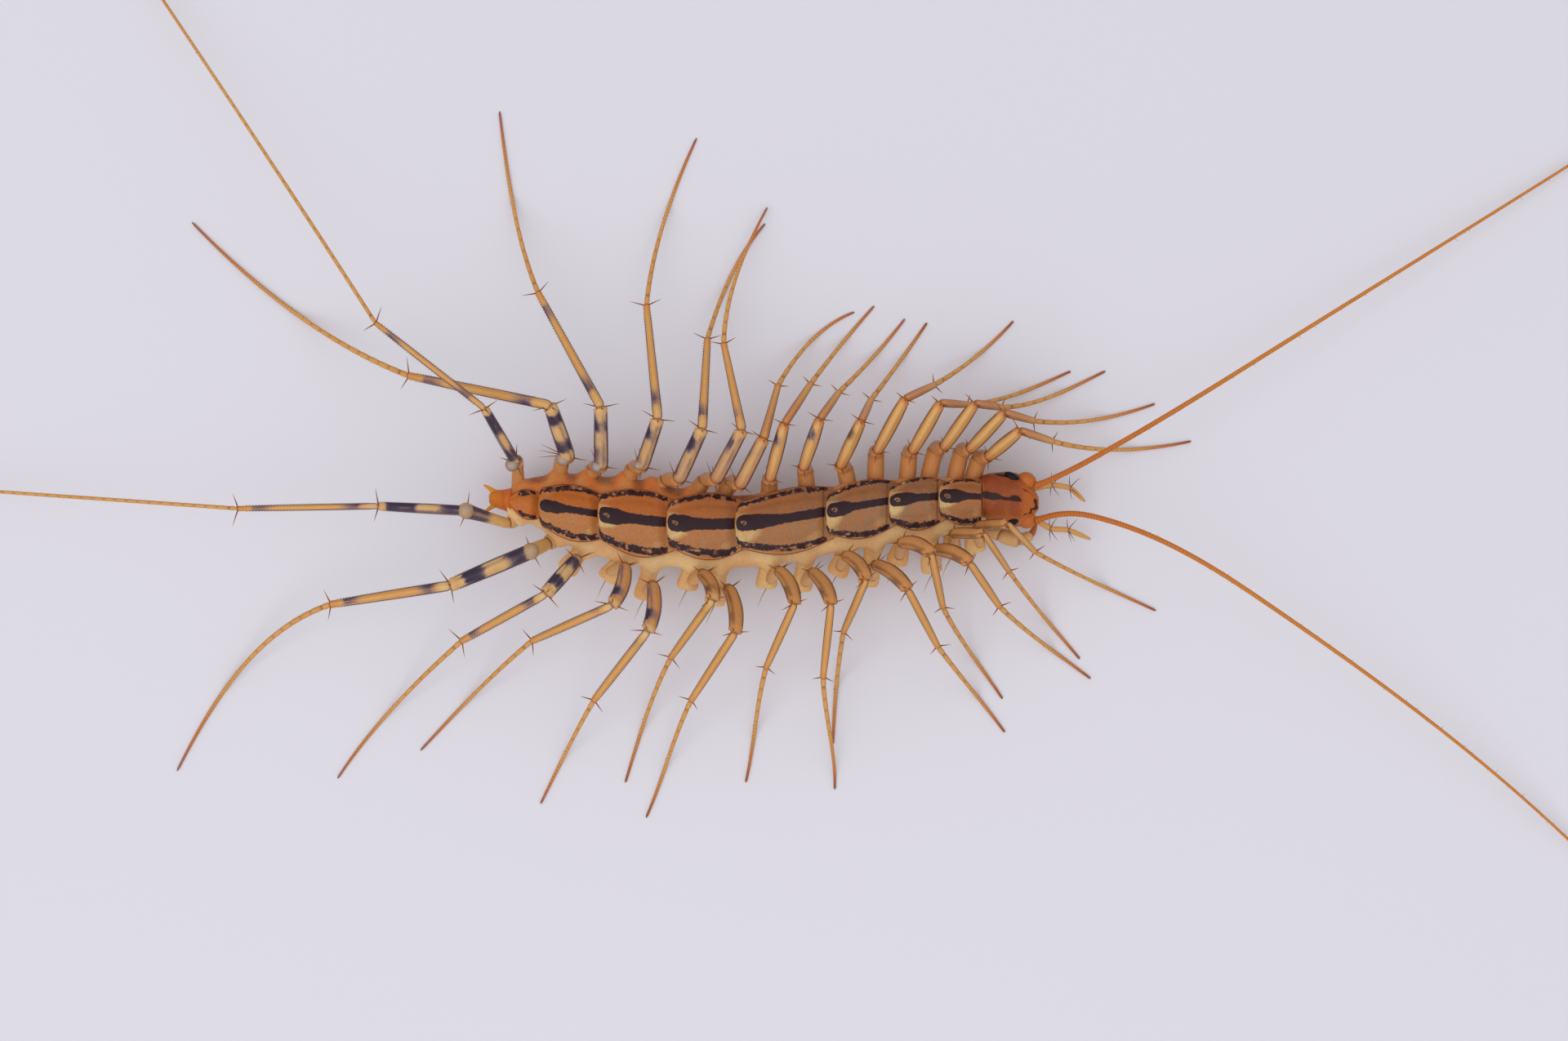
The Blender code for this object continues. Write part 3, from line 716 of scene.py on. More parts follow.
def feeler_cuticle():
    """Orange horn of the feelers."""
    look = Look(srgb(212, 136, 54), srgb(196, 108, 36), CREAM, INK, srgb(160, 84, 28))
    return cuticle("feeler_cuticle", look, LIMB_GRAIN, on_limb=True, deep=0.3, grit=0.88)


def claw_cuticle():
    """Smooth, glossy, pale horn of the poison claws, the palps and the chin."""
    look = Look(srgb(226, 180, 108), ORANGE, CREAM, srgb(70, 34, 20), RUST)
    return cuticle("claw_cuticle", look, LIMB_GRAIN, on_limb=True, rough=(0.26, 0.4), deep=0.2, grit=0.93)


def tail_cuticle():
    """Bright orange horn of the telson and its claspers."""
    look = Look(srgb(214, 118, 30), srgb(208, 96, 16), srgb(230, 166, 56), INK, RUST)
    return cuticle("tail_cuticle", look, grain=15000)


def spine_horn():
    """Brown horn of the spines and teeth."""
    look = Look(srgb(158, 92, 42), srgb(104, 54, 32), srgb(205, 160, 100), srgb(58, 36, 34), RUST)
    return cuticle("spine_horn", look, grain=3.0, on_limb=True)


def knuckle_glass():
    """Grey, glassy skin of the rear legs' knuckles."""
    look = Look(srgb(138, 120, 116), srgb(190, 150, 102), srgb(172, 160, 152), INK, RUST)
    return cuticle("knuckle_glass", look, grain=5000, rough=(0.2, 0.35), deep=0.1, glow=0.3, grit=0.92)


def eye_black():
    """Black and finely faceted, with a soft shine."""
    paint = Painter("eye_black")
    facets = paint.cells(paint.body_place(), 14000)
    paint.shade({
        "Base Color": paint.mix(paint.ramp(facets, 0.2, 0.7), srgb(9, 8, 12), srgb(22, 18, 22)),
        "Roughness": paint.ramp(facets, 0.2, 0.8, 0.25, 0.4),
        "Specular IOR Level": 0.2,
    })
    paint.bump(facets, 0.5)
    return paint.material


# Each material is made once
PLATE_LOOK = plate_cuticle()
HEAD_LOOK = head_cuticle()
SKIN_LOOK = side_skin()
FRONT_LEG_LOOK = leg_cuticle("front_leg_cuticle", BROWN)
REAR_LEG_LOOK = leg_cuticle("rear_leg_cuticle", INK, VEIL)
FEELER_LOOK = feeler_cuticle()
CLAW_LOOK = claw_cuticle()
TAIL_LOOK = tail_cuticle()
SPINE_LOOK = spine_horn()
KNUCKLE_LOOK = knuckle_glass()
EYE_LOOK = eye_black()


# Trunk


def plate_front(index):
    return PLATES[index - 1].rear if index else HEAD_SEAM


def widest(index, side):
    """How far a back plate reaches from the midline on its left, side 1, or its right, side -1."""
    return PLATES[index].left if side > 0 else PLATES[index].right


def flank_of(index, side):
    return widest(index, side) * (LEFT_FLANK if side > 0 else RIGHT_FLANK)


def crown(index, lateral):
    """Height of a back plate's surface at a distance from the midline, before the lean."""
    arch = max(0.0, 1 - (lateral / widest(index, lateral)) ** 2) ** DOME_POWER
    return PLATE_EDGE + PLATE_DOME * arch * (PLATES[index].left + PLATES[index].right) / 2


def plate_half(index, share, side):
    """Width of a back plate on one side, notched where it meets the next and round at its end."""
    swell = NOTCH + (1 - NOTCH) * math.sin(math.pi * min(1, max(0, share + LEAD) / (SHOULDER + LEAD)))
    shoulder = SHOULDER if index < LAST_PLATE else LAST_SHOULDER
    past = max(0, share - shoulder) / (1 - shoulder)
    return widest(index, side) * swell * (1 - min(1, past) ** 2.2) ** (1 / 2.2)


def stripe_half(index, ahead):
    """Half width of the dark stripe along a plate's middle, a distance ahead of the plate's end."""
    bulb = MARKS[index].bulb
    if not bulb:
        return -1.0
    if ahead < BULB_AT:
        behind = (BULB_AT - ahead) / (BULB_AT - 0.08)
        return bulb * max(0.0, 1 - behind**4) ** 0.5
    half, neck = MARKS[index].stripe, BULB_AT + 0.3
    return half + (bulb - half) * (1 - smooth(ahead, neck, neck + MARKS[index].neck))


def band_run(index, share, lateral):
    """How far in from the edge a side band runs, and half its thickness."""
    inset, thick = MARKS[index].left if lateral > 0 else MARKS[index].right
    return inset * (0.45 + 0.55 * math.sin(math.pi * min(1, max(0, share)))), thick


def plate_dark(index, x, share, lateral, edge, dots):
    """The dark stripe down a plate's middle, and the ragged band along each of its sides."""
    inset, thick = band_run(index, share, lateral)
    stripe = stripe_half(index, x - PLATES[index].rear) - abs(lateral)
    stripe += 0.05 * speck(x, lateral, 0.2, index)
    breaks = smooth(speck(x, 3 * lateral, 0.6, index + 5), 0.3, 0.6)
    band = thick - abs(edge - inset) + 0.07 * speck(x, lateral, 0.35, index + 9)
    band += 0.09 * speck(x, lateral, 0.12, index + 3) - 0.12 * breaks
    if index < LAST_PLATE:
        band -= 0.5 * (1 - smooth(share, -0.06, -0.02)) + 0.5 * smooth(share, 0.97, 1.0)
    else:
        band -= 0.4 * smooth(share, 0.6, 0.9) + 0.4 * (1 - smooth(share, 0.02, 0.12))
    cap = (0.66 + 0.24 * speck(x, lateral, 0.3, index + 17)) * (1 - 0.3 * dots)
    fill = 0.92 + 0.08 * speck(x, lateral, 0.4, index + 23)
    return max(min(fill, max(0.0, 0.5 + stripe / 0.2)), min(cap, max(0.0, 0.45 + band / 0.14)))


def plate_pale(index, x, share, lateral, half, dots):
    """The cream patch beside the bulb, pale corners and dots, and the right side's pale edge and haze."""
    marks = MARKS[index]
    ahead, edge = x - PLATES[index].rear, half - abs(lateral)
    pale = 0.4 * dots * bell(edge, band_run(index, share, lateral)[0], 0.2)
    if lateral > 0:
        length, width, strength = *LEFT_CREAM, marks.left_cream
        corners = 0.15
    else:
        length, width, strength = marks.cream
        corners = 0.3
        haze = math.hypot((share - 0.12) / 0.12, (edge - 0.62) / 0.35)
        pale = max(pale, 0.38 * (1 - smooth(haze, 0.3, 1.2)), 0.4 * bell(edge, 0.1, 0.08))
        pale = max(pale, 0.12 + 0.08 * smooth(-x, -7.0, 9.0))
    gap = max(0.0, abs(lateral) - 0.8 * marks.bulb)
    patch = 1 - smooth(math.hypot((ahead - 0.05) / length, gap / width), 0.6, 1.12)
    corner = math.hypot((ahead - 0.3) / 0.5, (abs(lateral) - 0.75 * half) / 0.5)
    pale = max(pale, strength * patch * smooth(ahead, 0.02, 0.1))
    return max(pale, corners * (1 - smooth(corner, 0.4, 1.4)))


def plate_paint(index, x, share, lateral, half):
    """The pigments of a back plate: dark marks, cream patches, a warmer neck and tail, an orange rim."""
    edge = half - abs(lateral)
    inset = band_run(index, share, lateral)[0]
    dots = smooth(speck(x, lateral, 0.22, index + 30), 0.22, 0.5) * smooth(inset + 0.14 - edge, -0.1, 0.1)
    dark = plate_dark(index, x, share, lateral, edge, dots)
    if index < LAST_PLATE:
        pale = plate_pale(index, x, share, lateral, half, dots)
        tail_end, neck = smooth(-x, -7.0, 9.0), smooth(x, 10.5, 12.0)
        warm = (0.05 + 0.8 * tail_end if lateral > 0 else 0.06 + 0.6 * tail_end) + 0.3 * neck
    else:
        pale, warm = 0.07, 1.0
    stoma = math.hypot((x - PLATES[index].rear - STOMA_AT + 0.4 * lateral) / 0.19, lateral / 0.15)
    if index < SLIT_PLATES and stoma < 1:
        dark, pale, warm = 0.57 - 0.07 * bell(stoma, 0.6, 0.3), 0.6, 0.15
    rim = 1 - smooth(edge, 0.03, 0.06)
    return dark * (1 - 0.6 * rim), pale * (1 - rim), max(min(1.0, warm), rim), rim


def plate_height(index, x, share, lateral, half):
    """Height of a plate's skin: its crown with the raised rim, the bulb and the breathing slit."""
    front, rear = plate_front(index), PLATES[index].rear
    z = crown(index, lateral)
    if index:
        z -= PLATE_STEP * (1 - smooth(share * (front - rear), 0.0, 0.5))
        if share < 0.03:
            z = min(z, crown(index - 1, lateral) - PLATE_STEP)
    z += 0.035 * bell(half - abs(lateral), 0.03, 0.06)
    if index < LAST_PLATE:
        z += 0.07 * bell(x - rear, BULB_AT, 0.42) * bell(lateral, 0, 0.36)
    if index < SLIT_PLATES:
        z -= 0.1 * bell(x - rear, STOMA_AT, 0.15) * bell(lateral, 0, 0.05)
    z -= 0.05 * bell(abs(lateral), 0.62 * half, 0.16)
    return z + 0.012 * speck(x, lateral, 0.3, index)


def plate(index):
    """A thin arched back plate, whose front is tucked under the plate before it."""
    front = plate_front(index)
    length = front - PLATES[index].rear
    shares = [-TUCK / length * (1 - i / 6) for i in range(6)] if index else [-0.01]
    shares += [SHOULDER * i / 60 for i in range(61)]
    shares += [SHOULDER + (1 - SHOULDER) * math.sin(math.pi / 2 * i / 17) for i in range(1, 17)]
    across = [math.sin(math.pi / 2 * (i / 34 - 1)) for i in range(69)]
    rows = []
    for share in shares:
        x = front - length * share
        over, under = [], []
        for part in across:
            half = plate_half(index, share, part)
            lateral = part * half
            z = plate_height(index, x, share, lateral, half)
            paint = plate_paint(index, x, share, lateral, half)
            over.append((leaning(x, lateral, z), (*paint, x, 1.0, part)))
            under.append((leaning(x, lateral, z - PLATE_THIN), (0.0, 0.6, 0.3, 0.0, x, -1.0, part)))
        rows.append(over[::-1] + under)
    piece(f"back_plate_{index + 1}", Shape(rows), PLATE_LOOK, "back_plate", f"segment_{index + 1}")


def half_at(x, side):
    """How far the plates reach to one side about a place, evened out from plate to plate."""
    spots = [(HEAD_SEAM, widest(0, side))]
    for index, row in enumerate(PLATES):
        spots.append(((plate_front(index) + row.rear) / 2, widest(index, side)))
    spots.append((PLATES[-1].rear, 0.8 * widest(LAST_PLATE, side)))
    for (front, first), (rear, last) in zip(spots, spots[1:]):
        if x >= rear:
            return last + (first - last) * smooth(x, rear, front)
    return spots[-1][1]


def skin_paint(x, side, top, plump, swelling):
    """Warm on the left and to the rear, pale on the right and below, with painted shade between the hips
    on the left rear, and creased between the hips.
    """
    warm = smooth(side, 0.0, 0.4) * (0.5 + 0.5 * smooth(-x, -8, 4))
    warm *= 0.8 + 0.5 * speck(x, 1.5 * side, 0.8, 22)
    pale = 0.6 * smooth(-side, -0.2, 0.7) + 0.3 * smooth(-top, 0.2, 0.8)
    pale += 0.25 * speck(x, 2 * side, 0.8, 21)
    dark = 0.3 * bell(top, 0.55, 0.3) * smooth(speck(x, side, 0.5, 2), 0.0, 0.6)
    # Painted shade on the left rear flank, between the hips, weaker over their swellings
    dark = max(dark, 0.55 * (1 - 0.6 * plump) * smooth(side, 0.2, 0.8) * smooth(-x, -10, 0))
    crease = 0.4 * bell(swelling, 0.0, 0.5) * smooth(-top, 0.4, 0.9)
    return dark, min(1, max(0, pale)) * (1 - warm), warm, crease


def skin():
    """The soft flanks and belly under the plates, swollen at each pair of hips."""
    start, end = SKIN_ENDS
    hips = {side: [hip(number, side)[0].x for number in range(1, 16)] for side in (1, -1)}
    rows = []
    for i in range(SKIN_ROWS + 1):
        x = start + (end - start) * i / SKIN_ROWS
        swell = {side: min(1, sum(bell(x, at, 0.42) for at in hips[side])) for side in (1, -1)}
        taper = smooth(start - x, -0.3, 1.6) * (0.4 + 0.6 * smooth(x, -11.5, -6.5))
        rear_taper = 0.1 + 0.9 * smooth(x - end, 0.0, 1.5)
        bulge = SKIN_LEFT + SKIN_TAIL_LEFT * smooth(-x, 0.0, 6.0)
        left = half_at(x, 1) + bulge * rear_taper + 0.1 * swell[1]
        right = 0.97 * half_at(x, -1) + SKIN_RIGHT * taper + 0.16 * swell[-1]
        spots = []
        for side, top in around(SKIN_SPOTS):
            plump = swell[1 if side > 0 else -1]
            lateral = (left if side > 0 else right) * math.copysign(abs(side) ** 0.85, side)
            tall = SKIN_TOP - HIP_HEIGHT if top > 0 else HIP_HEIGHT - BELLY
            z = HIP_HEIGHT + tall * math.copysign(abs(top) ** 0.9, top)
            if top < -0.3:
                z += 0.22 * (1 - plump) * smooth(-top, 0.3, 0.8)
            z += 0.02 * speck(x, lateral, 0.35, 4)
            lateral *= 1 - 0.12 * (1 - plump) * abs(side) ** 3
            paint = skin_paint(x, side, top, plump, swell[1] + swell[-1])
            spots.append((leaning(x, lateral, z), (*paint, x, top, side)))
        rows.append(spots[::-1])
    piece("trunk_skin", Shape(rows, columns=4), SKIN_LOOK, "back_plate")


def clasper_coat(part, share, top, side):
    return 0.4 * smooth(share, 0.85, 1), 0.7, 0.0


def tail():
    """The telson's blunt cone and its two hooked claspers."""
    start = PLATES[-1].rear + 0.1
    rows = []
    for i in range(19):
        share, half, top, under = spline(TELSON_STATIONS, i / 18)
        x = start + (TELSON_END - start) * share
        half *= 1 - 0.06 * bell(share, 0.35, 0.08)
        paint = (0.0, 0.25 * smooth(share, 0.5, 1.0), 0.6 * (1 - share), 0.5 * bell(share, 0.35, 0.05))
        rows.append([(place, (*paint, share, up, 0.0)) for place, up in oval(x, half, top, under, 28)])
    shape = Shape(rows)
    for side in (1, -1):
        stations = []
        for i in range(15):
            x, y, z = spline(CLASPER, i / 14)
            radius = spline([(size,) for size in CLASPER_R], i / 14)[0]
            place = Vector((TELSON_END + x, midline(TELSON_END) + side * y, z))
            stations.append(Station(place, max(0.02, radius), "clasper", i / 14, 0.0))
        sweep(shape, stations, clasper_coat, 10)
    piece("tail_end", shape, TAIL_LOOK, "telson", "telson")


# Head


def line_distance(x, y, line):
    """How far a place is from a bent line."""
    spot, nearest = Vector((x, y)), 9.0
    for a, b in zip(line, line[1:]):
        start, along = Vector(a), Vector(b) - Vector(a)
        share = min(1, max(0, (spot - start).dot(along) / along.length_squared))
        nearest = min(nearest, (spot - start - along * share).length)
    return nearest


def head_paint(x, lateral, up):
    """The dark marks on top, the warm brow, the pale right side and underside, and the neck's grooves."""
    mark = max(1 - math.hypot((x - a) / c, (lateral - b) / d) for a, b, c, d in HEAD_BLOBS) * 0.2
    thick = 0.02 + 0.08 * bell(lateral, -0.1, 0.3)
    mark = max(mark, thick - line_distance(x, lateral, BROW_LINE) + 0.09 * speck(x, lateral, 0.22))
    for side in (1, -1):
        rear_of_eye = math.hypot((x - EYE.x + 0.55) / 0.4, (lateral - side * (EYE.y + 0.06)) / 0.09)
        mark = max(mark, (1 - rear_of_eye) * 0.1)
    dark = min(1.0, max(0.0, 0.5 + mark / 0.12)) if up > 0 else 0.0
    warm = smooth(x, 15.2, 15.9) * 0.8 + 0.4 * smooth(-up, -0.2, 0.6) + 0.2 * smooth(-lateral, 0.3, 0.9)
    pale = 0.5 * smooth(-up, 0.1, 0.9) + 0.35 * smooth(-lateral, 0.8, 1.2) * smooth(up, 0, 0.4)
    ring = 0.9 * bell(x, NECK_GROOVE, 0.035) + 0.6 * bell(x, SECOND_GROOVE, 0.03)
    return dark, pale, warm, ring


def head_dent(x, lateral, up):
    """How deep the neck's grooves, the eyes' hollows and the middle furrow cut into the head."""
    dent = 0.05 * bell(x, NECK_GROOVE, 0.05) + 0.03 * bell(x, SECOND_GROOVE, 0.04)
    for side in (1, -1):
        hollow = math.hypot((x - EYE.x) / 0.62, (lateral - side * EYE.y) / 0.4)
        dent += 0.09 * bell(hollow, 0, 1) * (up > 0)
    return dent + 0.04 * bell(lateral, 0, 0.07) * (up > 0) * smooth(x, 13.7, 14.2)


def cheek(shape, side, ahead, out, size):
    """A soft orange bulge beside the brow."""
    middle = Vector((ahead, midline(ahead) + side * out, CHEEK_HEIGHT))
    rows = []
    for steps in globe(20):
        spots = []
        for unit in steps:
            offset = Vector((-1.1 * unit.z, unit.x, 1.05 * unit.y))
            dark = 0.5 * bell(offset.x, 0.95, 0.12)
            spots.append((middle + offset * size, (dark, 0.1, 1.0, 0.0, offset.x, offset.z, offset.y)))
        rows.append(spots)
    shape.wrap(rows)


def head():
    """The head's capsule, from the neck to the brow, with its cheeks."""
    rows = []
    for i in range(61):
        x, half, top, under = spline(HEAD_STATIONS, i / 60)
        half *= 1 - BROW_PINCH * smooth(x, 15.5, 16.0)
        spots = []
        for place, up in oval(x, half, top, under, 72):
            lateral = place.y - midline(x)
            out = Vector((0, lateral / half, up)).normalized()
            bulge = 0.015 * speck(x, lateral + 3 * up, 0.25, 8)
            place = place + out * (bulge - head_dent(x, lateral, up))
            spots.append((place, (*head_paint(x, lateral, up), x, up, lateral)))
        rows.append(spots[::-1])
    shape = Shape(rows)
    for side, ahead, out, size in CHEEKS:
        cheek(shape, side, ahead, out, size)
    piece("head_capsule", shape, HEAD_LOOK, "head_capsule", "head")


def eye(side, word):
    """A black eye, long and egg-shaped, whose rear end is the narrower."""
    turn = math.radians(-side * EYE_TURN)
    ahead = Vector((math.cos(turn), math.sin(turn), 0))
    across = Vector((-math.sin(turn), math.cos(turn), 0))
    middle = Vector((EYE.x, midline(EYE.x) + side * EYE.y, EYE.z))
    rows = []
    for i in range(25):
        swing = math.pi * (i + 0.15) / 24.3
        length = -math.cos(swing)
        girth = math.sin(swing) * (1 + 0.12 * length)
        spots = []
        for out, up in around(28):
            offset = ahead * length * EYE_SIZE.x / 2
            offset += across * girth * out * EYE_SIZE.y / 2
            offset.z += girth * up * EYE_SIZE.z / 2
            spots.append((middle + offset, (0, 0, 0, 0, length, up, out)))
        rows.append(spots)
    piece(f"eye_{word}_dome", Shape(rows), EYE_LOOK, "eye", f"eye_{word}")


# The lines of limbs


def resting(height, share, radius):
    """The height of a limb that sinks to the floor, and lies on it from share 1 on."""
    held = max(0.0, 1 - share) ** FALL_POWER
    return height * held + 0.96 * radius * (1 - held)


def step(point, length, heading, height):
    """The place a length away from a point along a plan heading, at a new height."""
    turn = math.radians(heading)
    return Vector((point[0] + length * math.cos(turn), point[1] + length * math.sin(turn), height))


def through(start, middle, end, share):
    """A value that goes smoothly from a start through a middle to an end."""
    slope = 4 * middle - 3 * start - end
    return start + share * slope + share * share * 2 * (start - 2 * middle + end)


def stretch(start, length, headings, count):
    """Places in plan along a run that bends through three headings."""
    first, middle, last = headings
    places = [Vector((start[0], start[1], 0))]
    for i in range(count):
        t = (i + 0.5) / count
        places.append(step(places[-1], length / count, through(first, middle, last, t), 0))
    return places


class Route:
    """A plan route made of fine steps, read by the distance gone along it."""

    def __init__(self, places):
        self.places = places
        self.gone = [0.0]
        for before, place in zip(places, places[1:]):
            self.gone.append(self.gone[-1] + (place - before).length)
        self.length = self.gone[-1]
        self.last = 0

    def at(self, distance):
        """The place a distance along, searched from the last one asked for."""
        while self.last and self.gone[self.last] > distance:
            self.last -= 1
        while self.last < len(self.gone) - 2 and self.gone[self.last + 1] < distance:
            self.last += 1
        i = self.last
        share = (distance - self.gone[i]) / (self.gone[i + 1] - self.gone[i])
        return self.places[i].lerp(self.places[i + 1], share)


def ringed(route, start, pitch_at, radius_at, height_at, part, depth=1.0):
    """Stations of a whip of little rings: each swells a bit towards its end and then steps in."""
    stations, gone = [], start
    while gone < route.length - 0.02:
        pitch = min(pitch_at(gone / route.length), route.length - gone)
        for share, size, ring in RING_MARKS:
            distance = gone + pitch * share
            radius = radius_at(distance / route.length) * size
            place = route.at(distance)
            place.z = height_at(distance / route.length, radius)
            stations.append(Station(place, radius, part, distance / route.length, ring * depth))
        gone += pitch
    return stations


def jointed(points, girths, parts):
    """Stations through the joints of a limb, with round bends and a waist and lip at each joint."""
    spans = list(zip(points, points[1:]))
    reaches = [0.0]
    for (a, b), (_, c) in zip(spans, spans[1:]):
        reaches.append(min(BEND_REACH, BEND_SHARE * (b - a).length, BEND_SHARE * (c - b).length))
    reaches.append(0.0)
    stations = []

    def radius(k, share):
        start, middle, end = girths[k]
        length = (spans[k][1] - spans[k][0]).length
        size = through(start, middle, end, share)
        size *= 1 - 0.15 * bell(share * length, 0, 0.11) * (k > 0)
        far = (1 - share) * length
        return size * (1 + 0.07 * bell(far, 0.14, 0.12) - 0.1 * bell(far, 0, 0.05))

    for k, (a, b) in enumerate(spans):
        length = (b - a).length
        first, last = reaches[k], length - reaches[k + 1]
        marks = [*NEAR_JOINT, *(length - mark for mark in NEAR_JOINT)]
        marks += [0.5 + 0.3 * i for i in range(int((length - 1) / 0.3) + 1)]
        for mark in sorted(mark for mark in set(marks) if first <= mark <= last):
            share = mark / length
            near_joint = max(bell(mark, 0, 0.05) * (k > 0), bell(mark, length, 0.05))
            stations.append(Station(a.lerp(b, share), radius(k, share), parts[k], share, near_joint))
        if k == len(spans) - 1:
            break
        c, reach = spans[k + 1][1], reaches[k + 1]
        enter, leave = b + (a - b).normalized() * reach, b + (c - b).normalized() * reach
        for i in range(1, 8):
            t = i / 8
            place = enter.lerp(b, t).lerp(b.lerp(leave, t), t)
            far = reach * abs(1 - 2 * t)
            here, share = (k, 1 - far / length) if t < 0.5 else (k + 1, far / (c - b).length)
            stations.append(Station(place, radius(here, share), parts[here], share, bell(far, 0, 0.05)))
    return stations


# Feelers and mouthparts


def feeler_coat(part, share, top, side):
    return 0.0, 0.0, 0.9 * (1 - smooth(share, 0.02, 0.3))


def feeler_pitch(share):
    return FEELER_RING


def feeler_radius(share):
    return FEELER_TIP + FEELER_TAPER * (1 - share) ** 1.3 + 0.05 * bell(share, 0, 0.006)


def feeler_height(share, radius):
    """A feeler climbs from its root to a crest, and then sinks to the floor."""
    climb = math.sin(min(1, share / ANTENNA_CREST_SHARE) * math.pi / 2)
    sunk = max(0, share - ANTENNA_CREST_SHARE) / (ANTENNA_LANDS - ANTENNA_CREST_SHARE)
    return resting(ANTENNA_ROOT.z + (ANTENNA_CREST - ANTENNA_ROOT.z) * climb, sunk, radius)


def feeler(word, side, stretches, bristles):
    """A long whip of little rings with a few fine hairs."""
    root = Vector((ANTENNA_ROOT.x - 0.25, midline(ANTENNA_ROOT.x) + side * (ANTENNA_ROOT.y - 0.05), 0))
    plan = [root]
    for length, *headings in stretches:
        plan += stretch(plan[-1], length, headings, round(length / FEELER_STEP))[1:]
    stations = ringed(Route(plan), 0.0, feeler_pitch, feeler_radius, feeler_height, "feeler")
    shape = Shape()
    sweep(shape, stations, feeler_coat, sides=10, columns=12)
    for station in stations[60:1400:12]:
        out = Vector((random.uniform(-1, 1), random.uniform(-1, 1), random.uniform(0, 1))).normalized()
        bristles.spine(station.place, out * 0.3 + Vector((0.1, 0, 0)), 0.014, paint=(0, 0, 0.4, 0))
    piece(f"feeler_{word}", shape, FEELER_LOOK, "antenna", f"antenna_{word}")


def claw_coat(part, share, top, side):
    if part == "tip":
        return 0.55 * smooth(share, 0.5, 1), 0.0, 0.9
    return 0.0, 0.35 * smooth(top, 0, 1), 0.25 + 0.5 * smooth(share, 0.85, 1)


def poison_claw(word, claw):
    """A curved poison claw under the head."""
    forward, share, up = CLAW_BASE
    points = [leaning(forward, share * claw[0][1], up)]
    points += [Vector((x, midline(x) + lateral, z)) for x, lateral, z in claw]
    stations = jointed(points, CLAW_GIRTHS, ("base", "base", "base", "middle", "tip"))
    shape = Shape()
    sweep(shape, stations, claw_coat, sides=18)
    piece(f"poison_claw_{word}", shape, CLAW_LOOK, "forcipule", f"forcipule_{word}")


def slender_palp(word, palp, bristles):
    """The slender palp in front of a poison claw, with spines round two of its joints."""
    forward, share, up = PALP_BASE
    middle = midline(PALP_ROOT)
    points = [Vector((forward, middle + share * palp[0][1], up))]
    points += [Vector((x, middle + lateral, z)) for x, lateral, z in palp]
    shape = Shape()
    sweep(shape, jointed(points, PALP_GIRTHS, ("palp",) * 4), plain_coat, sides=12)
    piece(f"slender_palp_{word}", shape, CLAW_LOOK, "palp", f"palp_{word}")
    for joint in points[2:4]:
        for turn in (-100, -60, 60, 100):
            reach = step((0, 0), 0.75, turn + random.uniform(-12, 12), 0.25)
            bristles.spine(joint, reach, 0.03, Vector((0.18, 0, -0.05)), (0.6, 0, 0.6, 0))


def chin():
    """The broad pale plate between the poison claws' roots."""
    rows = []
    for i in range(15):
        share = i / 14
        x = CHIN_START + CHIN_LENGTH * share
        half = CHIN_HALF * math.sin(math.pi * (0.12 + 0.76 * share)) ** 0.5
        ring = oval(x, half, CHIN_TOP, CHIN_UNDER + 0.2 * share, 26)
        rows.append([(place, (0.0, 0.3, 0.4, bell(share, 0.93, 0.06), x, up, 0.0)) for place, up in ring])
    piece("chin_plate", Shape(rows), CLAW_LOOK, "forcipule")


# Legs


def hip(number, side):
    """Where a leg's coxa starts beside its trunk segment, and the index of that segment."""
    index, spot = divmod(number - 1, 2)
    front, rear = plate_front(index), PLATES[index].rear
    share = HIP_SHARES[spot] if number < 14 else LAST_HIP_SHARE
    return leaning(front + (rear - front) * share, side * flank_of(index, side), HIP_HEIGHT), index


def coxa_end(number, side, leg, root, index):
    """The low bend between coxa and prefemur."""
    x, y = leg.at
    if side > 0:
        out = max(abs(y - midline(x)), PLATES[index].left + COXA_REACH)
        low = leaning(x, out, HIP_HEIGHT + COXA_RISE)
        return Vector(((x + root.x) / 2, low.y, low.z))
    if number >= 14:
        return root + LAST_COXA
    back = 0.1 * number - 0.3 if leg.back is None else leg.back
    return Vector((x - back, y - COXA_OUT + 0.06 * number, HIP_HEIGHT))


def girth_of(number, side):
    """Which row of girths a leg has."""
    if number == 15:
        return FIFTEENTH
    if number == 14:
        return FOURTEENTH
    if number < 3 and side < 0:
        return FIRST_RIGHT
    if number <= 8:
        return FRONT_LEFT if side > 0 else FRONT_RIGHT
    return REAR_LEFT if side > 0 else REAR_RIGHT


Spot = namedtuple("Spot", "share across rear edge lines streak end")


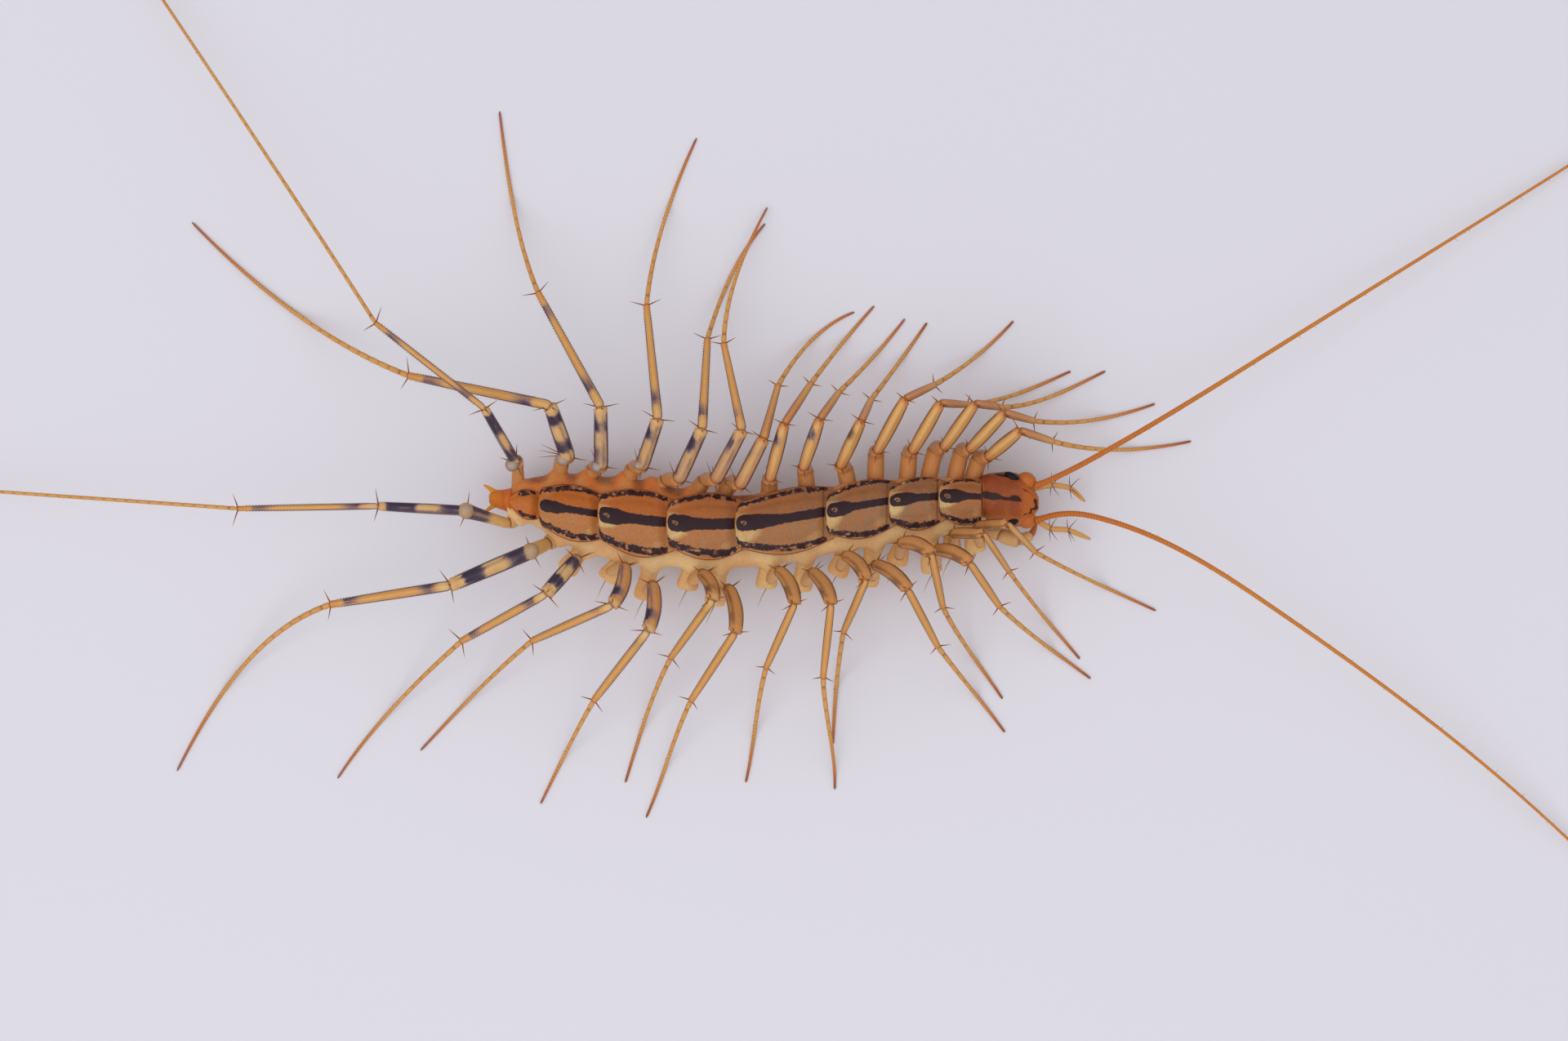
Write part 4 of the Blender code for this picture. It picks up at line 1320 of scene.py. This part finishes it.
class LegPaint:
    """The paint of one leg: banded on the rear legs, finely striped on the femora, with painted
    highlights along femora, tibiae and tarsi. Each part's method gives its dark, pale and warm."""

    def __init__(self, number, side):
        self.number = number
        self.side = side
        self.left = side > 0
        self.banded = smooth(number, 8, 11)
        self.plump = side < 0 and number <= PLUMP_LEGS[1]

    def coat(self, part, share, top, across):
        """The paint of a spot, from what all parts share: edges, lines and streaks."""
        lines = max(bell(across, 0.5, 0.11), bell(across, -0.35, 0.11), 0.6 * bell(across, 0.05, 0.08))
        spot = Spot(
            share=share,
            across=across,
            rear=across * self.side,
            edge=bell(abs(across), 0.97, 0.22) * (top > -0.6),
            lines=lines * (top > 0),
            streak=0.5 + 0.5 * speck(share * 4, across * 3, 0.8, self.number * 7 + self.side),
            end=smooth(share, 0.88, 0.96),
        )
        return getattr(self, part)(spot)

    def coxa(self, spot):
        pale, warm = (0.12, 0.7) if self.left else (0.3, 0.1)
        return 0.3 * spot.edge, pale, warm

    def prefemur(self, spot):
        dark = 0.3 * spot.edge + 0.1 * self.left * spot.streak * (1 - bell(spot.across, 0, 0.5))
        if self.number == 15:
            last = (0.4 if self.left else 0.75) * (1 - 0.3 * bell(spot.across, 0, 0.3))
            dark = max(dark, smooth(spot.share, 0.3, 0.6) * last)
        if self.left:
            return dark, 0.1 + 0.15 * spot.streak, 0.7
        if self.number < 14:
            return 0.6 * dark, 0.15 + 0.1 * spot.streak, 0.3
        return dark, 0.15 + 0.1 * spot.streak, 0.0

    def femur(self, spot):
        dark = self.femur_dark(spot, *self.femur_bands(spot.share)) * (1 - 0.85 * spot.end)
        return dark, self.femur_pale(spot), self.femur_warm(spot) * (1 - 0.4 * self.banded * spot.end)

    def femur_bands(self, share):
        """How dark the bands near the femur's base and far end are. The last legs have their own."""
        shift = 0.1 if self.number == 14 and self.left else 0.0
        on, fade = share - shift, 0.8 - 0.5 * shift
        base = smooth(on, 0.0, 0.12) * (1 - smooth(on, 0.2, 0.46))
        far = smooth(on, 0.52, 0.64) * (1 - smooth(on, fade, fade + 0.08))
        if self.number == 15:
            far = smooth(share, 0.5, 0.62) * (1 - smooth(share, 0.92, 0.98))
        if self.number == 13 and self.left:
            base = 0.7 * smooth(share, 0.0, 0.1) * (1 - smooth(share, 0.3, 0.55))
            far *= 0.75
        return base, far

    def femur_dark(self, spot, base, far):
        """Bands, fine lines, dark edges and smudges, and a haze over the rear left legs."""
        share, across, rear, streak = spot.share, spot.across, spot.rear, spot.streak
        patch = self.banded * max((0.9 if self.number > 12 else 0.6) * base, far)
        solid, lean = (0.9, 0.15) if self.number > 12 else (0.7, 0.35)
        # Bands a little lighter along the middle, where the painted highlight runs
        patch *= solid + lean * rear + 0.6 * (streak - 0.5) - 0.1 * bell(across, 0, 0.2)
        fine = (0.75 if self.plump else 0.5 + 0.2 * self.banded) * spot.lines * (0.6 + 0.5 * streak)
        dark = max(patch, fine, 0.8 * spot.edge)
        if self.plump:
            smudge = 0.5 * far * (0.5 + 0.5 * rear) + 0.3 * streak * smooth(share, 0.1, 0.5)
            brown = 0.3 if self.number < 3 else 0.06
            # Smudges fainter along the middle, where the painted highlight runs
            dark = max(dark, brown, smudge * (1 - 0.5 * bell(across, 0, 0.2)))
        elif 5 < self.number < 11:
            smudge = (0.8 * far + 0.3 * base) * (0.6 + 0.4 * rear) * (0.5 + streak)
            dark = max(dark, (1 - self.banded) * smudge)
        if self.left and self.number < 14:
            dark = max(dark, 0.47 * smooth(self.number, 6, 10) * (0.7 + 0.3 * streak))
        return dark

    def femur_pale(self, spot):
        """The painted highlight along a femur, and the cream between its bands and at its end."""
        # A painted highlight along the femur's middle, broken by its fine lines
        shine = (0.4 + 0.6 * spot.streak) * bell(spot.across, 0.12 * self.side, 0.35) * (1 - spot.lines)
        if self.plump:
            pale = max(0.3 * shine, 0.15)
        else:
            pale = max(0.75 * shine, (0.4 if self.number > 12 else 0.2) * self.banded * (1 - spot.end))
        if self.left:
            pale = max(pale, 0.1 * (1 - spot.end))
        return max(pale, 0.5 * self.banded * spot.end)

    def femur_warm(self, spot):
        """Orange at a femur's ends and on the plump legs, and rusty on the front left ones."""
        base = 1 - smooth(spot.share, 0.0, 0.05)
        warm = max(0.62 if self.plump else 0.08, 0.8 * spot.end, 0.6 * base)
        if self.left:
            rusty = 0.75 * (1 - smooth(spot.share, 0.02, 0.4))
            rusty = max(rusty, 0.55 * bell(abs(spot.across), 0.8, 0.3))
            warm = max(warm, (1 - smooth(self.number, 9, 12)) * rusty)
        return warm

    def tibia(self, spot):
        share, streak = spot.share, spot.streak
        base = smooth(share, 0.08, 0.14) * (1 - smooth(share, 0.16, 0.4))
        far = smooth(share, 0.62, 0.84) * (1 - smooth(share, 0.88, 0.94))
        base *= 0.5 if self.plump else 0.75
        far *= 0.7 if self.number > 12 else 0.3
        patch = self.banded * max(base, far) * (0.85 + 0.2 * spot.rear + 0.5 * (streak - 0.5))
        dark = max(patch, 0.85 * spot.edge, 0.4 * spot.lines * streak)
        brownish = (0.55 if self.left else 0.15) * (1 - self.banded) * (1 - smooth(share, 0.3, 1.0))
        collar = (0.2 if self.left else 0.5) * self.banded * (1 - smooth(share, 0.05, 0.12))
        # A pale collar at the base, and a painted highlight along the middle
        pale = max(collar, 0.3 * bell(spot.across, 0, 0.3))
        return dark * (1 - spot.end), pale, 0.2 + 0.3 * spot.end + brownish

    def tarsus(self, spot):
        tip, claw = smooth(spot.share, 0.45, 1.0), smooth(spot.share, 0.985, 1.0)
        edge = bell(abs(spot.across), 0.95, 0.15)
        dark = max(0.8 * claw, 0.4 * edge, 0.5 * smooth(spot.share, 0.7, 1.0))
        # Paler along the middle short of the tip: a painted highlight
        return dark, 0.2 * bell(spot.across, 0, 0.4) * (1 - tip), 0.15 + 0.85 * tip


def leg_joints(number, side, leg):
    """The joints of one leg from its hip to its ankle."""
    root, index = hip(number, side)
    low = coxa_end(number, side, leg, root, index)
    haunch = Vector((*leg.at, HAUNCH_LEFT if side > 0 else HAUNCH_RIGHT))
    knee = step(haunch, *leg.femur, leg.knee or (KNEE_LEFT if side > 0 else KNEE_RIGHT))
    ankle = step(knee, *leg.tibia, leg.ankle or (ANKLE_LEFT if side > 0 else ANKLE_RIGHT))
    return [root, low, haunch, knee, ankle]


def crown_of_spines(bristles, joint, ahead, radius, length, turns, lean):
    """Stiff spines round the end of a part, leaning the way the limb goes."""
    across = ahead.cross(UP).normalized()
    up = across.cross(ahead)
    for turn in turns:
        spin = math.radians(turn + random.uniform(-8, 8))
        out = across * math.sin(spin) + up * math.cos(spin)
        reach = (out + ahead * lean).normalized() * length * random.uniform(0.85, 1.1)
        bristles.spine(joint + out * radius * 0.6, reach, 0.042, paint=HORN)


def serrate(bristles, stations):
    """Rows of tiny teeth along both edges of a leg's femur and tibia."""
    gone = 0.0
    for here, there in zip(stations, stations[1:]):
        if here.part not in ("femur", "tibia") or min(here.share, 1 - here.share) < 0.06:
            continue
        ahead = there.place - here.place
        across = ahead.cross(UP).normalized()
        while gone < ahead.length:
            middle = here.place + ahead.normalized() * gone
            for side in (1, -1):
                out = (across * side + Vector((0, 0, 0.3))).normalized()
                reach = (out + ahead.normalized() * 0.8) * 0.085
                bristles.spine(middle + out * here.radius * 0.95, reach, 0.02, paint=(0.3, 0, 0.4, 0))
            gone += TOOTH_PITCH
        gone -= ahead.length


def leg_spines(number, side, joints, girth, bristles):
    """The stiff spines round a leg's joints, and the longer ones at its haunch."""
    low, haunch, knee, ankle = joints[1:]
    long = 0.6 + 0.3 * smooth(number, 8, 14)
    for start, end, radius, turns, lean in (
        (low, haunch, girth.prefemur[2], (-70, 80, 170), 0.3),
        (haunch, knee, girth.femur[2], (-85, 85, 10), 0.25),
        (knee, ankle, girth.tibia[2], (-85, 85), 0.35),
    ):
        crown_of_spines(bristles, end, (end - start).normalized(), radius, long, turns, lean)
    if side < 0 and 3 <= number <= 13:
        reach = step((0, 0), 0.95, random.uniform(22, 42), 0.3)
        bristles.spine(haunch, reach, 0.036, paint=HORN)
    turns = ()
    if side > 0 and number >= 9:
        turns = (100, 165, 185, 150) if number == 14 else (108,)
    for turn in turns:
        reach = step((0, 0), 1.0 + 0.5 * (turn > 120), turn + random.uniform(-6, 6), 0.35)
        bristles.spine(haunch + Vector((-0.2, 0.1, 0)), reach, 0.034, paint=HORN)


def leg_stations(joints, girth, row):
    """Stations from a leg's hip to its tip, and the place halfway along its tarsus."""
    ankle = joints[-1]
    length, *headings = row.tarsus
    route = Route(stretch(ankle, length, headings, 60))
    lands = row.lands or LANDS
    thick, thin = girth.tarsus

    def radius_at(share):
        return thin + (thick - thin) * (1 - share) ** 0.8 - (thin - 0.02) * smooth(share, 0.985, 1.0)

    def height_at(share, radius):
        return resting(ankle.z, share / lands, radius)

    def pitch_at(share):
        if share < COARSE_SHARE:
            return COARSE_RING
        return FINE_RING if length < LONG_TARSUS else LONG_FINE_RING

    foot = route.at(RINGS_START)
    foot.z = height_at(RINGS_START / length, thick)
    stations = []
    for station in jointed([*joints, foot], (*girth[:4], (thick,) * 3), PARTS):
        if station.part == "tarsus":
            station = station._replace(share=station.share * RINGS_START / length)
        stations.append(station)
    stations += ringed(route, RINGS_START + 0.01, pitch_at, radius_at, height_at, "tarsus", RING_DEPTH)
    halfway = route.at(0.5 * length)
    halfway.z = height_at(0.5, thick)
    return stations, halfway


def bow_femur(stations, joints):
    """Bends the femur's stations into a slight bow."""
    bow = UP.cross(joints[3] - joints[2]).normalized() * BOW
    for i, station in enumerate(stations):
        if station.part == "femur":
            place = station.place + bow * 4 * station.share * (1 - station.share)
            stations[i] = station._replace(place=place)


def leg(number, side, word, row, extras):
    """One leg, with what it adds to its side's bristles, knuckles and hip flaps."""
    bristles = extras["bristles"]
    girth = girth_of(number, side)
    joints = leg_joints(number, side, row)
    stations, halfway = leg_stations(joints, girth, row)
    if side < 0 and PLUMP_LEGS[0] <= number <= PLUMP_LEGS[1]:
        bow_femur(stations, joints)
    shape = Shape()
    sides, columns = (16, 5) if row.tarsus[0] < LONG_TARSUS else (12, 10)
    sweep(shape, stations, LegPaint(number, side).coat, sides, columns)
    if side < 0 and number < 14:
        lobe(extras["flaps"], joints, bristles)
    if (number, side) in KNUCKLES:
        knob(extras["knuckles"], joints, side, KNUCKLES[number, side])
    slot = "front_leg" if number <= 8 else "rear_leg"
    look = FRONT_LEG_LOOK if number <= (6 if side > 0 else 10) else REAR_LEG_LOOK
    piece(f"walking_leg_{word}_{number}", shape, look, slot, f"leg_{word}_{number}")

    leg_spines(number, side, joints, girth, bristles)
    heading = row.tarsus[2] + 60 * side
    bristles.spine(halfway, step((0, 0), 0.22, heading, 0.05), 0.018, paint=(0.2, 0, 0.4, 0))
    if number >= 11:
        serrate(bristles, stations)


def lobe(shape, joints, bristles):
    """The pale flap over a coxa: a paddle that widens past its leg to a thin, frilled, squarish end."""
    root, low = joints[:2]
    out = Vector((-0.35, -0.8, -0.25)).normalized()
    start, end = root + (root - low).normalized() * 0.5, low + out * 0.52
    ahead = (end - start).normalized()
    across = ahead.cross(UP).normalized()
    up = across.cross(ahead)
    rows = []
    for i in range(31):
        share = math.sin(math.pi / 2 * i / 30)
        corner = max(0.0, share - 0.8) / 0.2
        wide = 0.46 + 0.3 * (1 - smooth(share, 0.1, 0.5)) + 0.12 * smooth(share, 0.55, 0.85)
        wide = max(0.03, wide * (1 - corner**5) ** 0.25)
        tall = max(0.015, 0.37 * (1 - 0.3 * smooth(share, 0.5, 0.9)) * (1 - corner**2) ** 0.5)
        frill = smooth(share, 0.85, 1.0)
        spots = []
        for side, top in around(28):
            reach = 0.07 * frill * speck(2.5 * side, root.x, 0.5, 3)
            place = start.lerp(end, share) + across * side * wide + up * top * tall + ahead * reach
            cloud = 0.5 + 0.5 * speck(share * 1.5, side, 0.5, root.x)
            pale = 0.25 + 0.5 * cloud * (1 - abs(side))
            spots.append((place, (0.2 * frill * cloud, pale, 0.12 * cloud, 0.0, share, top, side)))
        rows.append(spots)
    shape.wrap(rows)
    bristles.spine(end, Vector((-0.6, -1.0, -0.1)), 0.026, Vector((0.1, -0.1, 0)), (0, 0.3, 0.3, 0))


def knob(shape, joints, side, size):
    """The glassy grey knuckle of a rear leg: behind the haunch on the left, round it on the right, with a
    painted highlight on top and painted shade towards its rim.
    """
    haunch, knee = joints[2:4]
    behind = (knee - haunch).cross(UP).normalized() * -side
    middle = haunch + behind * (0.05 + 0.5 * size) * (side > 0) + Vector((0, 0, 0.06))
    # How warm each side's knuckle is, and how strong its painted highlight
    warm, shine = (0.75, 0.4) if side < 0 else (0.1, 0.8)
    rows = []
    for steps in globe(24):
        spots = []
        for unit in steps:
            flat = 1 - abs(unit.z)
            # Painted shade growing towards the ball's rim, with a thin dark ring on the way
            dark = 0.22 + 0.16 * bell(flat, 0.25, 0.06) + 0.25 * smooth(flat, 0.5, 0.85)
            # A painted highlight about the ball's poles, the top one facing the camera
            pale = shine * (1 - smooth(flat, 0.0, 0.5))
            spots.append((middle + unit * size, (dark, pale, warm, 0.0, unit.x, unit.z, unit.y)))
        rows.append(spots)
    shape.wrap(rows)


# Everything


def one_side(side, word, feeler_run, claw, palp, legs):
    """All that one side has: eye, feeler, mouthparts, legs and what stands on them."""
    extras = {name: Shape() for name in ("bristles", "knuckles", "flaps")}
    eye(side, word)
    feeler(word, side, feeler_run, extras["bristles"])
    poison_claw(word, claw)
    slender_palp(word, palp, extras["bristles"])
    for number, row in enumerate(legs, 1):
        leg(number, side, word, row, extras)
    piece(f"bristles_{word}", extras["bristles"], SPINE_LOOK, "rear_leg")
    piece(f"knuckles_{word}", extras["knuckles"], KNUCKLE_LOOK, "rear_leg")
    if extras["flaps"].faces:
        piece(f"hip_flaps_{word}", extras["flaps"], SKIN_LOOK, "back_plate")


def pale_floor():
    """A plain pale floor, faintly clouded."""
    paint = Painter("pale_floor")
    shade = paint.noise(paint.body_place(), 6, 2.0)
    colour = paint.mix(shade, srgb(219, 216, 223), srgb(225, 222, 229))
    paint.shade({"Base Color": colour, "Roughness": 0.85})
    mesh = bpy.data.meshes.new("floor")
    corners = [(FLOOR_REACH * x, FLOOR_REACH * y, 0) for x, y in ((-1, -1), (1, -1), (1, 1), (-1, 1))]
    mesh.from_pydata(corners, [], [(0, 1, 2, 3)])
    mesh.materials.append(paint.material)
    floor = bpy.data.objects.new("floor", mesh)
    bpy.context.scene.collection.objects.link(floor)


def soft_light(aim):
    """An even pale sky, and soft lamps of which the stronger stands to the photograph's lower left."""
    world = bpy.data.worlds.new("studio")
    world.use_nodes = True
    world.node_tree.nodes["Background"].inputs["Color"].default_value = (0.95, 0.96, 1.0, 1)
    world.node_tree.nodes["Background"].inputs["Strength"].default_value = 0.62
    bpy.context.scene.world = world
    for name, spot, size, power in LAMPS:
        lamp = bpy.data.lights.new(name, "AREA")
        lamp.size = size
        lamp.energy = power
        light = bpy.data.objects.new(name, lamp)
        light.location = aim + spot
        light.rotation_euler = spot.to_track_quat("Z", "Y").to_euler()
        bpy.context.scene.collection.objects.link(light)


def overhead_camera(aim):
    """A camera straight above, which takes in what the photograph does."""
    camera_data = bpy.data.cameras.new("camera")
    camera_data.sensor_width = SENSOR_WIDTH
    camera_data.lens = SENSOR_WIDTH * CAMERA_HEIGHT / (PICTURE_WIDTH * MM)
    camera_data.clip_start = 0.01
    camera_data.clip_end = 10
    camera = bpy.data.objects.new("camera", camera_data)
    camera.location = aim + Vector((0, 0, CAMERA_HEIGHT))
    bpy.context.scene.collection.objects.link(camera)
    bpy.context.scene.camera = camera
    bpy.context.scene.view_settings.view_transform = "Standard"


random.seed(7)
picture_aim = Vector((*PICTURE_MIDDLE, 0)) * MM
pale_floor()
soft_light(picture_aim)
overhead_camera(picture_aim)
for plate_index in range(len(PLATES)):
    plate(plate_index)
skin()
tail()
head()
chin()
one_side(1, "left", LEFT_ANTENNA, LEFT_CLAW, LEFT_PALP, LEFT_LEGS)
one_side(-1, "right", RIGHT_ANTENNA, RIGHT_CLAW, RIGHT_PALP, RIGHT_LEGS)
